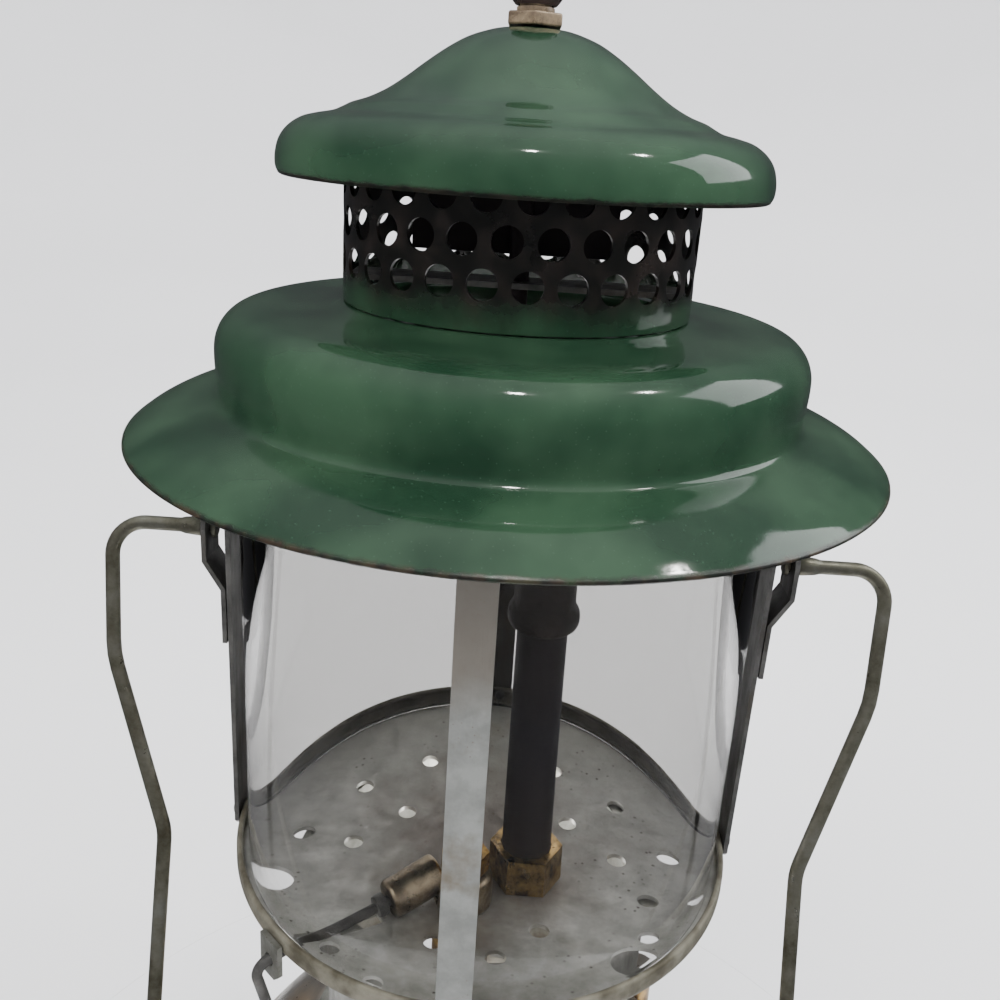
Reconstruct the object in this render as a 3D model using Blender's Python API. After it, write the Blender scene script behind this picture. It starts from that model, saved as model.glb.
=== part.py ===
"""Mantle lantern: pressure fount, cage, glass globe, burner, enamelled ventilator and bail.

Metres, +Z up. The origin is the centre of the fount's foot, on the surface that it stands on.
The front of the lantern, with its valve wheel, faces -Y.
"""
import math

import bmesh
import bpy
from mathutils import Vector

MM = 0.001
DEG = math.pi / 180
TURN = 2 * math.pi

# Fits and mesh fineness
SEAT_GAP = 0.3 * MM
RUN_GAP = 0.4 * MM
OVERRUN = 4 * MM
MERGE = 0.00001
LARGE_STEPS = 28
MEDIUM_STEPS = 12
SMALL_STEPS = 8
WIRE_FINENESS = 2
SMOOTH_ANGLE = 35 * DEG

# Fount
FOUNT_RADIUS = 84 * MM
FOUNT_HEIGHT = 84 * MM
FOUNT_WALL = 0.9 * MM
FOUNT_HEM = 4.2 * MM
FOUNT_CROWN_SHARE = 0.536
FOUNT_SIDE_SHARES = [(0.620, 0.945), (0.715, 0.845), (0.810, 0.720), (0.900, 0.570),
                     (0.970, 0.400), (1.000, 0.230), (0.988, 0.080), (0.955, 0.0)]
BOTTOM_RECESS = 5 * MM
BOTTOM_CROWN = 3 * MM
BOTTOM_FLANGE = 3.5 * MM

# Filler
FILLER_AZIMUTH = 35 * DEG
FILLER_CLEARANCE = 2 * MM
FILLER_BORE = 7 * MM
FILLER_WALL = 2 * MM
FILLER_TOP_RISE = 6.2 * MM
FILLER_DEPTH = 34 * MM
FILLER_CAP_RADIUS = 12.5 * MM
FILLER_CAP_HEIGHT = 11.5 * MM
FILLER_CAP_WALL = 1.6 * MM
FILLER_CAP_SKIRT = 5.5 * MM
GASKET_HEIGHT = 1.6 * MM
KNURLS = 16
KNURL_SHARE = 0.045

# Pump, along an axis that leaves the shoulder of the fount at the front right
PUMP_AZIMUTH = -48 * DEG
PUMP_TILT = 28 * DEG
PUMP_SHOULDER_SHARES = (0.857, 0.631)
PUMP_RADIUS = 9.5 * MM
PUMP_WALL = 0.8 * MM
PUMP_DEPTH = 64 * MM
PUMP_STANDOFF = 4.5 * MM
PUMP_CAP_RADIUS = 13 * MM
PUMP_CAP_HEIGHT = 4 * MM
PLUNGER_RADIUS = 3 * MM
PLUNGER_BORE = 1.7 * MM
PLUNGER_HEAD = 5 * MM
CUP_HEIGHT = 7 * MM
CUP_WALL = 1.6 * MM
AIR_STEM_RADIUS = 1.3 * MM
AIR_STEM_TIP = 4 * MM
PUMP_KNOB_RADIUS = 9 * MM
PUMP_KNOB_HEIGHT = 8 * MM
PUMP_THROW = 42 * MM
CHECK_VALVE_RADIUS = 5 * MM
CHECK_VALVE_LENGTH = 9 * MM

# Collar between the fount and the cage
COLLAR_HEIGHT = 68.5 * MM
COLLAR_WALL = 0.9 * MM
COLLAR_FLANGE = 4 * MM
COLLAR_MARGIN = 1 * MM
WINDOW_COUNT = 4
WINDOW_AZIMUTH = -90 * DEG
WINDOW_WIDTH = 36 * MM
WINDOW_SILL = 9 * MM
WINDOW_HEAD = 12 * MM
WINDOW_ARCH = 16 * MM

# Globe and the pan that it stands in
GLOBE_RADIUS = 58.5 * MM
GLOBE_WALL = 3.2 * MM
GLOBE_HEIGHT = 126.6 * MM
GLOBE_EASE = 0.8 * MM
GLOBE_PLAY = 1.9 * MM
PAN_WALL = 1 * MM
PAN_FLANGE = 5.1 * MM
PAN_LIP = 0.6 * MM
VENT_RADIUS = 2.3 * MM
VENT_SHARES = [(0.62, 150), (0.72, 178), (0.52, 184), (0.36, 155), (0.56, 118),
               (0.84, 233), (0.90, 248), (0.58, 56), (0.40, 22), (0.66, 26), (0.56, 356),
               (0.76, 2), (0.70, 338), (0.86, 342), (0.80, 322), (0.60, 256), (0.65, 277),
               (0.54, 296)]
LIGHTING_HOLE_RADIUS = 5.4 * MM
LIGHTING_HOLE_SHARES = [(0.83, 200), (0.86, 312)]

# Cage uprights and bail ears
STRAP_WIDTHS = {"front": 7.2 * MM, "right": 10 * MM, "back": 7.2 * MM, "left": 10 * MM}
STRAP_WALL = 1.1 * MM
STRAP_FOOT = 2.3 * MM
STRAP_AZIMUTHS = {"front": -93 * DEG, "right": 0, "back": 87 * DEG, "left": 180 * DEG}
RIVET_RADIUS = 1.3 * MM
RIVET_HEAD = 2.3 * MM
RIVET_HEAD_HEIGHT = 1.2 * MM
RIVET_RISE = 2.7 * MM
EAR_LAP = 14 * MM
EAR_STEP = 7 * MM
EAR_JOG = 4.1 * MM
EAR_BELOW_PIVOT = 6.6 * MM
EAR_ABOVE_PIVOT = 4.9 * MM
EAR_CORNER = 4 * MM

# Bail
BAIL_WIRE = 1.65 * MM
BAIL_BELOW_RIM = 28.3 * MM
BAIL_REST_GAP = 0.3 * MM
BAIL_TILT_STEP = 0.05 * DEG
BAIL_PIN = 1.35 * MM
BAIL_HEAD = 2.4 * MM
BAIL_HEAD_LENGTH = 1.2 * MM
BAIL_SWAGE = 2.3 * MM
BAIL_SWAGE_LENGTH = 4.3 * MM
BAIL_HAND_ROOM = 39 * MM
BAIL_SHOULDER_RUN = 17.6 * MM
BAIL_ARM_TAPER = 2.3 * MM
BAIL_ARM_DROP = 31 * MM
BAIL_LEG_INSET = 16.7 * MM
BAIL_LEG_DROP = 71.5 * MM
BAIL_BENDS = {"shoulder": 7.5 * MM, "arm": 25 * MM, "leg": 14 * MM, "loop": 36 * MM}
BEND_STEP = 30 * DEG

# Hood: collar lip, crown, ring and brim
RIM_BELOW_GLOBE = 19 * MM
HOOD_WALL = 0.9 * MM
HOOD_CROWN = 26 * MM
HOOD_RING_RADIUS = 62.3 * MM
HOOD_RING_TAPER = 0.6 * MM
HOOD_SHOULDER = 8.6 * MM
HOOD_SHOULDER_STEPS = 3
BRIM_RADIUS = 80.6 * MM
BRIM_ROOT = 8.8 * MM
BRIM_SHARES = [(0.07, 0.86), (0.35, 0.69), (0.68, 0.46), (1.0, 0.0)]
LIP_RISE = 1.4 * MM
LIP_INSIDE = 2.2 * MM
LIP_OUTSIDE = 0.6 * MM
COVE_SHARES = [(0.4, 0.15)]

# Neck band with its staggered holes
NECK_RADIUS = 36.5 * MM
NECK_WALL = 0.7 * MM
NECK_HOLES = 28
NECK_ROWS = 3
NECK_PITCH = 7.6 * MM
NECK_HOLE_RADIUS = 2.9 * MM
NECK_FOOT = 4.6 * MM
NECK_TOP = 8.1 * MM
NECK_PHASE = 2.9 * DEG
CROSSBAR_WIDTH = 11 * MM
CROSSBAR_WALL = 1.2 * MM
CROSSBAR_RISE = 3.7 * MM
CROSSBAR_TAB = 5 * MM

# Cap
CAP_RADIUS = 49.8 * MM
CAP_HEIGHT = 29.2 * MM
CAP_WALL = 0.9 * MM
CAP_OUTLINE_SHARES = [(0.13, 0.983), (0.28, 0.908), (0.42, 0.755), (0.58, 0.552), (0.70, 0.478),
                      (0.76, 0.415), (0.89, 0.363), (0.95, 0.300), (0.99, 0.212), (1.0, 0.080),
                      (0.988, 0.0)]

# Stud and ball nut
STUD_RADIUS = 2.2 * MM
STUD_NUT_FLATS = 9 * MM
STUD_NUT_HEIGHT = 3.5 * MM
NUT_FLATS = 10.4 * MM
NUT_HEIGHT = 2.4 * MM
NUT_NECK_RADIUS = 3.7 * MM
NUT_NECK_HEIGHT = 1 * MM
NUT_SPIGOT_WALL = 0.6 * MM
NUT_BORE_DEPTH = 7.5 * MM
NUT_CROWN = 1.2 * MM
BALL_RADIUS = 5.8 * MM
BALL_LIP = 0.6 * MM
BALL_STEPS = 7

# Burner: heights are below the hood's rim
AIR_TUBE_PLACE = (11 * MM, -11 * MM)
AIR_TUBE_RADIUS = 5.85 * MM
AIR_TUBE_WALL = 1 * MM
AIR_TUBE_BELOW_PAN = 9 * MM
AIR_NUT_FLATS = 15 * MM
AIR_NUT_HEIGHT = 8.5 * MM
CASTING_FOOT = 43.5 * MM
CASTING_SOCKET = 36.5 * MM
CASTING_LEVEL = 25.5 * MM
CASTING_BOSS_RADIUS = 8.3 * MM
CASTING_NECK_RADIUS = 7.2 * MM
CASTING_BEAD = 4.4 * MM
CASTING_EASE = 1.3 * MM
CASTING_LUMP = (14 * MM, 10 * MM, 8 * MM)
CASTING_LUMP_PLACE = (2 * MM, 1 * MM)
ARM_REACH = 25 * MM
ARM_RADIUS = 5.6 * MM
ARM_PLACE = 3 * MM
SOCKET_RADIUS = 7.6 * MM
SOCKET_BORE = 5.6 * MM
SOCKET_DROP = 7 * MM
SOCKET_RISE = 6.5 * MM
STUD_BOSS_RADIUS = 5.2 * MM
STUD_BOSS_RISE = 13 * MM
STUD_SEAT = 6 * MM
JET_BOSS_RADIUS = 5.2 * MM
JET_BOSS_REACH = 12 * MM
BURNER_CAP_RADIUS = 8.4 * MM
BURNER_CAP_HEIGHT = 3.6 * MM
BURNER_CAP_WALL = 1.3 * MM
SCREEN_WALL = 0.6 * MM
GROOVE_DEPTH = 0.7 * MM
GENERATOR_PLACE = (-3.2 * MM, -21 * MM)
GENERATOR_RADIUS = 3.2 * MM
GENERATOR_BORE = 1.2 * MM
GENERATOR_BEND = 5 * MM
GENERATOR_NUT_FLATS = 9.4 * MM
GENERATOR_NUT_HEIGHT = 4.5 * MM
ELBOW_NUT_LENGTH = 3 * MM

# Tip cleaner: block, lever and needle
BLOCK_RADIUS = 6.6 * MM
BLOCK_HEIGHT = 8 * MM
BLOCK_BORE = 1.5 * MM
BARREL_RADIUS = 4.4 * MM
BARREL_LENGTH = 13 * MM
LEVER_INNER = (-19.9 * MM, -27.5 * MM)
LEVER_INNER_RISE = 3.7 * MM
LEVER_OUTER = (-47.4 * MM, -46.3 * MM)
LEVER_OUTER_DROP = 4.2 * MM
LEVER_RADIUS = 1.2 * MM
LEVER_BEND = 3.2 * MM
LEVER_DROP = 13 * MM
LEVER_BALL = 2.7 * MM
LEVER_COLLAR = 2.6 * MM
LEVER_COLLAR_LENGTH = 2.4 * MM
SLOT_WIDTH = 3.4 * MM
BRACKET_WIDTH = 7 * MM
BRACKET_WALL = 1.2 * MM
BRACKET_RISE = 3 * MM
BRACKET_DROP = 4.6 * MM
NEEDLE_RADIUS = 0.5 * MM
NEEDLE_TOP = 36 * MM

# Valve between the fount and the cage
VALVE_BASE_FLATS = 18 * MM
VALVE_BASE_HEIGHT = 6 * MM
VALVE_RADIUS = 6.5 * MM
VALVE_SHOULDER = 8 * MM
SPIGOT_RADIUS = 3.6 * MM
VALVE_THREAD_RADIUS = 6 * MM
VALVE_THREAD_DEPTH = 7 * MM
STEM_AZIMUTH = -110 * DEG
STEM_RISE = 27 * MM
STEM_RADIUS = 1.6 * MM
STEM_START = 8 * MM
STEM_BOSS_RADIUS = 4.8 * MM
STEM_BOSS_REACH = 14 * MM
PACKING_FLATS = 11 * MM
PACKING_LENGTH = 6 * MM
WHEEL_REACH = 39 * MM
WHEEL_RADIUS = 15 * MM
WHEEL_WIDTH = 5 * MM
WHEEL_HUB = 4.5 * MM
WHEEL_HUB_WIDTH = 7.5 * MM
WHEEL_DISH = 1.5 * MM
WHEEL_LOBES = 8
WHEEL_LOBE_SHARE = 0.06
PICKUP_RADIUS = 2.5 * MM
PICKUP_CLEARANCE = 4 * MM


def empty_scene():
    for thing in list(bpy.data.objects):
        bpy.data.objects.remove(thing, do_unlink=True)


def finish(name, colour, roughness, metallic, alpha=1.0):
    """A Principled finish, named after what it stands for."""
    made = bpy.data.materials.get(name)
    if made:
        return made
    made = bpy.data.materials.new(name)
    made.use_nodes = True
    shader = made.node_tree.nodes["Principled BSDF"]
    shader.inputs["Base Color"].default_value = (*colour, 1.0)
    shader.inputs["Roughness"].default_value = roughness
    shader.inputs["Metallic"].default_value = metallic
    shader.inputs["Alpha"].default_value = alpha
    return made


def enamel():
    return finish("green_enamel", (0.040, 0.105, 0.050), 0.12, 0.0)


def galvanised():
    return finish("galvanised_steel", (0.40, 0.41, 0.38), 0.45, 0.9)


def bail_steel():
    return finish("bail_steel", (0.33, 0.33, 0.27), 0.40, 0.9)


def dark_steel():
    return finish("heat_dark_steel", (0.055, 0.048, 0.050), 0.55, 0.7)


def cast_iron():
    return finish("cast_iron", (0.10, 0.085, 0.075), 0.65, 0.6)


def brass():
    return finish("brass", (0.62, 0.42, 0.18), 0.35, 1.0)


def nickel():
    return finish("nickelled_brass", (0.62, 0.56, 0.45), 0.28, 1.0)


def glass():
    return finish("clear_glass", (0.92, 0.95, 0.94), 0.03, 0.0, 0.25)


def leather():
    return finish("pump_leather", (0.16, 0.09, 0.05), 0.8, 0.0)


def rubber():
    return finish("gasket_rubber", (0.03, 0.03, 0.03), 0.8, 0.0)


def black_knob():
    return finish("dark_knob", (0.035, 0.028, 0.028), 0.3, 0.0)


def link(name, data, material):
    thing = bpy.data.objects.new(name, data)
    data.materials.append(material)
    bpy.context.scene.collection.objects.link(thing)
    return thing


def mesh_object(name, shape, material):
    """Close a bmesh into a named object with smooth faces and sharp corners."""
    bmesh.ops.recalc_face_normals(shape, faces=shape.faces)
    mesh = bpy.data.meshes.new(name)
    shape.to_mesh(mesh)
    shape.free()
    mesh.shade_smooth()
    mesh.set_sharp_from_angle(angle=SMOOTH_ANGLE)
    return link(name, mesh, material)


def aim(thing, origin, direction):
    """Put an object's origin at a place and its local Z along a direction."""
    thing.location = origin
    thing.rotation_mode = "QUATERNION"
    thing.rotation_quaternion = Vector(direction).to_track_quat("Z", "Y")
    return thing


def turned(name, outline, material, steps=LARGE_STEPS):
    """Spin a closed outline of (radius, height) points round the local Z axis."""
    shape = bmesh.new()
    ring = [shape.verts.new((radius, 0, height)) for radius, height in outline]
    edges = []
    for first, second in zip(ring, ring[1:] + ring[:1]):
        if first.co.x > MERGE or second.co.x > MERGE:
            edges.append(shape.edges.new((first, second)))
    bmesh.ops.spin(shape, geom=ring + edges, cent=(0, 0, 0), axis=(0, 0, 1),
                   angle=TURN, steps=steps, use_merge=True)
    bmesh.ops.remove_doubles(shape, verts=shape.verts, dist=MERGE)
    loose = [vert for vert in shape.verts if not vert.link_faces]
    bmesh.ops.delete(shape, geom=loose, context="VERTS")
    return mesh_object(name, shape, material)


def prism(name, outline, height, material):
    """Extrude a closed outline of (x, y) points along the local Z axis."""
    shape = bmesh.new()
    face = shape.faces.new([shape.verts.new((x, y, 0)) for x, y in outline])
    grown = bmesh.ops.extrude_face_region(shape, geom=[face])
    moved = [part for part in grown["geom"] if isinstance(part, bmesh.types.BMVert)]
    bmesh.ops.translate(shape, verts=moved, vec=(0, 0, height))
    return mesh_object(name, shape, material)


def ring_points(radius, count, turn=0.0):
    return [(radius * math.cos(turn + TURN * step / count),
             radius * math.sin(turn + TURN * step / count)) for step in range(count)]


def hex_nut(name, flats, height, bore, material, turn=0.0):
    """A hexagon nut standing on the local origin, bored right through."""
    nut = prism(name, ring_points(flats / math.sqrt(3), 6, turn), height, material)
    cut(nut, rod_cutter(name + "_bore", bore, -OVERRUN, height + OVERRUN))
    return nut


def rod_outline(radius, low, high):
    return [(0, high), (radius, high), (radius, low), (0, low)]


def tube_outline(outer, inner, low, high):
    return [(inner, high), (outer, high), (outer, low), (inner, low)]


def as_cutter(thing):
    thing.hide_render = True
    thing.display_type = "WIRE"
    return thing


def rod_cutter(name, radius, low, high, steps=MEDIUM_STEPS):
    return as_cutter(turned(name, rod_outline(radius, low, high), dark_steel(), steps))


def combine(target, other, how):
    change = target.modifiers.new(how.lower() + "_" + other.name, "BOOLEAN")
    change.operation = how
    change.solver = "EXACT"
    change.object = other


def cut(target, cutter):
    """Cut with a tool that is placed in the target's own frame when it has no frame yet."""
    if cutter.parent is None:
        cutter.parent = target
    combine(target, cutter, "DIFFERENCE")


def cut_in_place(target, cutter):
    combine(target, cutter, "DIFFERENCE")


def weld(target, other):
    """Add a shape to its target, as one piece."""
    as_cutter(other)
    combine(target, other, "UNION")


def thickened(outer, wall):
    """Give an open outline a wall on its inner side, as one closed outline."""
    count = len(outer)
    normals = []
    for first, second in zip(outer, outer[1:]):
        run = Vector((second[0] - first[0], second[1] - first[1])).normalized()
        normals.append(Vector((run.y, -run.x)))
    inner = []
    for index, place in enumerate(outer):
        before = normals[max(index - 1, 0)]
        after = normals[min(index, count - 2)]
        middle = (before + after).normalized()
        shift = middle * (wall / middle.dot(before))
        if abs(place[0]) < MERGE:
            shift = Vector((0, wall / after.y))
        inner.append(Vector(place) + shift)
    return list(outer) + [tuple(place) for place in reversed(inner)]


def height_on(outline, radius):
    """Height of an open outline at a radius, by straight runs between its points."""
    for first, second in zip(outline, outline[1:]):
        low, high = sorted((first[0], second[0]))
        if low <= radius <= high and high > low:
            share = (radius - first[0]) / (second[0] - first[0])
            return first[1] + share * (second[1] - first[1])
    return outline[-1][1]


def underside(outline, wall):
    """The inner half of a thickened outline, from its first point to its last."""
    count = len(outline)
    return list(reversed(thickened(outline, wall)[count:]))


def rounded_path(corners, bends):
    """Join corner points by straight runs, with an arc of each corner's own bend radius."""
    path = [Vector(corners[0])]
    for index in range(1, len(corners) - 1):
        before, here, after = (Vector(corners[index + step]) for step in (-1, 0, 1))
        inward = (before - here).normalized()
        outward = (after - here).normalized()
        half = inward.angle(outward) / 2
        bend = bends[index - 1]
        setback = bend / math.tan(half)
        centre = here + (inward + outward).normalized() * (bend / math.sin(half))
        start = here + inward * setback - centre
        end = here + outward * setback - centre
        swept = start.angle(end)
        steps = max(2, math.ceil(swept / BEND_STEP))
        for step in range(steps + 1):
            first = math.sin(swept * (1 - step / steps)) / math.sin(swept)
            last = math.sin(swept * step / steps) / math.sin(swept)
            path.append(centre + start * first + end * last)
    path.append(Vector(corners[-1]))
    return path


def wire(name, points, radius, material, swells=None):
    """A round wire along points, thicker or thinner where swells says so."""
    curve = bpy.data.curves.new(name, "CURVE")
    curve.dimensions = "3D"
    curve.bevel_depth = radius
    curve.bevel_resolution = WIRE_FINENESS
    curve.use_fill_caps = True
    spline = curve.splines.new("POLY")
    spline.points.add(len(points) - 1)
    for index, place in enumerate(points):
        spline.points[index].co = (*place, 1.0)
        spline.points[index].radius = swells[index] if swells else 1.0
    return link(name, curve, material)


def as_mesh(thing):
    """Turn a curve object into a mesh object of the same name."""
    name, place, turn = thing.name, thing.location.copy(), thing.rotation_euler.copy()
    bpy.context.view_layer.update()
    mesh = bpy.data.meshes.new_from_object(thing)
    bpy.data.objects.remove(thing, do_unlink=True)
    shape = bmesh.new()
    shape.from_mesh(mesh)
    bmesh.ops.remove_doubles(shape, verts=shape.verts, dist=MERGE)
    made = mesh_object(name, shape, mesh.materials[0])
    made.location = place
    made.rotation_euler = turn
    return made


def around(radius, azimuth, height=0.0):
    return Vector((radius * math.cos(azimuth), radius * math.sin(azimuth), height))


# Levels, from the foot up
COLLAR_FOOT_Z = FOUNT_HEIGHT + SEAT_GAP
PAN_Z = COLLAR_FOOT_Z + COLLAR_HEIGHT + SEAT_GAP
PLATE_Z = PAN_Z + PAN_WALL
GLOBE_Z = PLATE_Z + SEAT_GAP
RIM_Z = GLOBE_Z + GLOBE_HEIGHT - RIM_BELOW_GLOBE
PIVOT_Z = RIM_Z - BAIL_BELOW_RIM
NECK_Z = RIM_Z + HOOD_CROWN + LIP_RISE + SEAT_GAP
NECK_HEIGHT = NECK_FOOT + NECK_ROWS * NECK_PITCH + NECK_TOP

# Radii that follow one another
CROWN_RADIUS = FOUNT_RADIUS * FOUNT_CROWN_SHARE
COLLAR_RADIUS = CROWN_RADIUS - COLLAR_MARGIN - COLLAR_FLANGE
FLANGE_RADIUS = GLOBE_RADIUS + GLOBE_PLAY + PAN_WALL
STRAP_RADIUS = FLANGE_RADIUS + SEAT_GAP
EAR_RADIUS = STRAP_RADIUS + STRAP_WALL + SEAT_GAP
PIVOT_RADIUS = EAR_RADIUS + EAR_JOG


def fount_side():
    """Outside of the fount from the edge of its flat crown to its foot."""
    side = [(CROWN_RADIUS, FOUNT_HEIGHT)]
    side += [(FOUNT_RADIUS * out, FOUNT_HEIGHT * up) for out, up in FOUNT_SIDE_SHARES]
    return side


def pump_frame():
    out, up = PUMP_SHOULDER_SHARES
    origin = around(FOUNT_RADIUS * out, PUMP_AZIMUTH, FOUNT_HEIGHT * up)
    return origin, around(math.cos(PUMP_TILT), PUMP_AZIMUTH, math.sin(PUMP_TILT))


def filler_place():
    """Mouth of the filler, far enough out for its cap to clear the frame's collar."""
    reach = COLLAR_RADIUS + COLLAR_FLANGE + FILLER_CLEARANCE + FILLER_CAP_RADIUS
    return around(reach, FILLER_AZIMUTH, FOUNT_HEIGHT + FILLER_TOP_RISE)


def fount_shell():
    outer = [(0, FOUNT_HEIGHT)] + fount_side()
    outer.append((outer[-1][0] - FOUNT_HEM, 0))
    shell = turned("fount_shell", thickened(outer, FOUNT_WALL), nickel())
    valve_hole = rod_cutter("fount_valve_hole", VALVE_THREAD_RADIUS + SEAT_GAP,
                            FOUNT_HEIGHT - OVERRUN, FOUNT_HEIGHT + OVERRUN)
    valve_hole.location = (*GENERATOR_PLACE, 0)
    cut_in_place(shell, valve_hole)
    filler_hole = rod_cutter("fount_filler_hole", FILLER_BORE + FILLER_WALL + SEAT_GAP,
                             -FILLER_DEPTH - OVERRUN, OVERRUN)
    filler_hole.location = filler_place()
    cut_in_place(shell, filler_hole)
    pump_hole = rod_cutter("fount_pump_hole", PUMP_RADIUS + SEAT_GAP, -PUMP_RADIUS, PUMP_DEPTH)
    aim(pump_hole, *pump_frame())
    cut_in_place(shell, pump_hole)


def fount_bottom():
    foot = FOUNT_RADIUS * FOUNT_SIDE_SHARES[-1][0] - FOUNT_WALL - SEAT_GAP
    low = FOUNT_WALL + SEAT_GAP
    outer = [(0, low + BOTTOM_RECESS + BOTTOM_CROWN),
             (foot - BOTTOM_FLANGE, low + BOTTOM_RECESS),
             (foot, low + BOTTOM_RECESS - FOUNT_WALL),
             (foot, low)]
    turned("fount_bottom", thickened(outer, FOUNT_WALL), nickel())


def knurled(name, radius, height, material, share=KNURL_SHARE, count=KNURLS):
    """A short bar whose rim has small regular ridges."""
    outline = []
    for step in range(2 * count):
        reach = radius * (1 - share) if step % 2 else radius
        turn = TURN * step / (2 * count)
        outline.append((reach * math.cos(turn), reach * math.sin(turn)))
    return prism(name, outline, height, material)


def filler():
    place = filler_place()
    outer = FILLER_BORE + FILLER_WALL
    bushing = turned("filler_bushing", tube_outline(outer, FILLER_BORE, -FILLER_DEPTH, 0),
                     brass(), MEDIUM_STEPS)
    bushing.location = place
    gasket = turned("filler_gasket",
                    tube_outline(outer, FILLER_BORE + FILLER_WALL / 2,
                                 SEAT_GAP, SEAT_GAP + GASKET_HEIGHT), rubber(), MEDIUM_STEPS)
    gasket.location = place
    roof = GASKET_HEIGHT + 2 * SEAT_GAP
    cap = knurled("filler_cap", FILLER_CAP_RADIUS, FILLER_CAP_HEIGHT, nickel())
    cap.location = place + Vector((0, 0, -FILLER_CAP_SKIRT))
    room = rod_cutter("filler_cap_room", outer + SEAT_GAP, -OVERRUN, FILLER_CAP_SKIRT + roof)
    cut(cap, room)


def pump():
    origin, along = pump_frame()
    bore = PUMP_RADIUS - PUMP_WALL
    inner_end = -PUMP_DEPTH
    outline = [(bore, PUMP_STANDOFF), (PUMP_RADIUS, PUMP_STANDOFF), (PUMP_RADIUS, inner_end),
               (CHECK_VALVE_RADIUS + SEAT_GAP, inner_end),
               (CHECK_VALVE_RADIUS + SEAT_GAP, inner_end + PUMP_WALL),
               (bore, inner_end + PUMP_WALL)]
    aim(turned("pump_cylinder", outline, brass(), MEDIUM_STEPS), origin, along)
    valve = [(0, inner_end + PUMP_WALL + CHECK_VALVE_LENGTH / 3),
             (CHECK_VALVE_RADIUS / 2, inner_end + PUMP_WALL + CHECK_VALVE_LENGTH / 3),
             (CHECK_VALVE_RADIUS, inner_end + PUMP_WALL),
             (CHECK_VALVE_RADIUS, inner_end - CHECK_VALVE_LENGTH / 2),
             (CHECK_VALVE_RADIUS / 2, inner_end - CHECK_VALVE_LENGTH * 2 / 3),
             (0, inner_end - CHECK_VALVE_LENGTH * 2 / 3)]
    aim(turned("check_valve", valve, brass(), SMALL_STEPS), origin, along)
    roof = PUMP_STANDOFF + SEAT_GAP
    cap = [(PLUNGER_RADIUS + RUN_GAP, roof + PUMP_CAP_HEIGHT),
           (PLUNGER_HEAD + FOUNT_WALL, roof + PUMP_CAP_HEIGHT),
           (PUMP_CAP_RADIUS, roof + PUMP_CAP_HEIGHT / 2),
           (PUMP_CAP_RADIUS, PUMP_STANDOFF - PUMP_WALL), (PUMP_RADIUS + SEAT_GAP, PUMP_STANDOFF - PUMP_WALL),
           (PUMP_RADIUS + SEAT_GAP, roof), (PLUNGER_RADIUS + RUN_GAP, roof)]
    aim(turned("pump_cap", cap, nickel(), MEDIUM_STEPS), origin, along)


def plunger():
    origin, along = pump_frame()
    bore = PUMP_RADIUS - PUMP_WALL
    cup_low = PUMP_STANDOFF - PUMP_THROW - CUP_HEIGHT - SEAT_GAP
    outside = PUMP_STANDOFF + SEAT_GAP + PUMP_CAP_HEIGHT + SEAT_GAP
    stop = cup_low + CUP_WALL + SEAT_GAP
    rod = [(PLUNGER_BORE, outside + PUMP_WALL), (PLUNGER_HEAD, outside + PUMP_WALL),
           (PLUNGER_HEAD, outside), (PLUNGER_RADIUS, outside), (PLUNGER_RADIUS, stop),
           (PLUNGER_RADIUS, cup_low - PUMP_WALL), (PLUNGER_BORE, cup_low - PUMP_WALL)]
    aim(turned("plunger_rod", rod, nickel(), MEDIUM_STEPS), origin, along)
    cup_outer = bore - RUN_GAP
    cup = [(PLUNGER_RADIUS + SEAT_GAP, cup_low + CUP_WALL),
           (cup_outer - CUP_WALL, cup_low + CUP_WALL), (cup_outer - CUP_WALL / 2, cup_low + CUP_HEIGHT),
           (cup_outer, cup_low + CUP_HEIGHT), (cup_outer, cup_low), (PLUNGER_RADIUS + SEAT_GAP, cup_low)]
    aim(turned("pump_leather_cup", cup, leather(), MEDIUM_STEPS), origin, along)
    knob_low = outside + PUMP_WALL + SEAT_GAP
    knob = knurled("pump_knob", PUMP_KNOB_RADIUS, PUMP_KNOB_HEIGHT, black_knob())
    aim(knob, origin + along * knob_low, along)
    cut(knob, rod_cutter("pump_knob_bore", AIR_STEM_RADIUS + SEAT_GAP, -OVERRUN, PUMP_KNOB_HEIGHT / 2))
    stem = rod_outline(AIR_STEM_RADIUS, cup_low - AIR_STEM_TIP, knob_low + PUMP_KNOB_HEIGHT / 2 - SEAT_GAP)
    aim(turned("air_stem", stem, brass(), SMALL_STEPS), origin, along)


def collar():
    inner = COLLAR_RADIUS - COLLAR_WALL
    reach = COLLAR_RADIUS + COLLAR_FLANGE
    outline = [(inner, COLLAR_HEIGHT), (reach, COLLAR_HEIGHT), (reach, COLLAR_HEIGHT - COLLAR_WALL),
               (COLLAR_RADIUS, COLLAR_HEIGHT - COLLAR_WALL), (COLLAR_RADIUS, COLLAR_WALL),
               (reach, COLLAR_WALL), (reach, 0), (inner, 0)]
    ring = turned("frame_collar", outline, galvanised())
    ring.location = (0, 0, COLLAR_FOOT_Z)
    half = WINDOW_WIDTH / 2
    sill = WINDOW_SILL
    spring = COLLAR_HEIGHT - WINDOW_HEAD - WINDOW_ARCH
    arch = [(half * math.cos(math.pi * step / 6), spring + WINDOW_ARCH * math.sin(math.pi * step / 6))
            for step in range(7)]
    for index in range(WINDOW_COUNT):
        window = as_cutter(prism("collar_window_%d" % index, [(-half, sill), (half, sill)] + arch,
                                 COLLAR_RADIUS, galvanised()))
        turn = WINDOW_AZIMUTH + TURN * index / WINDOW_COUNT
        window.rotation_euler = (math.pi / 2, 0, turn + math.pi / 2)
        window.location = around(COLLAR_RADIUS / 2, turn, COLLAR_FOOT_Z)
        cut_in_place(ring, window)


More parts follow.
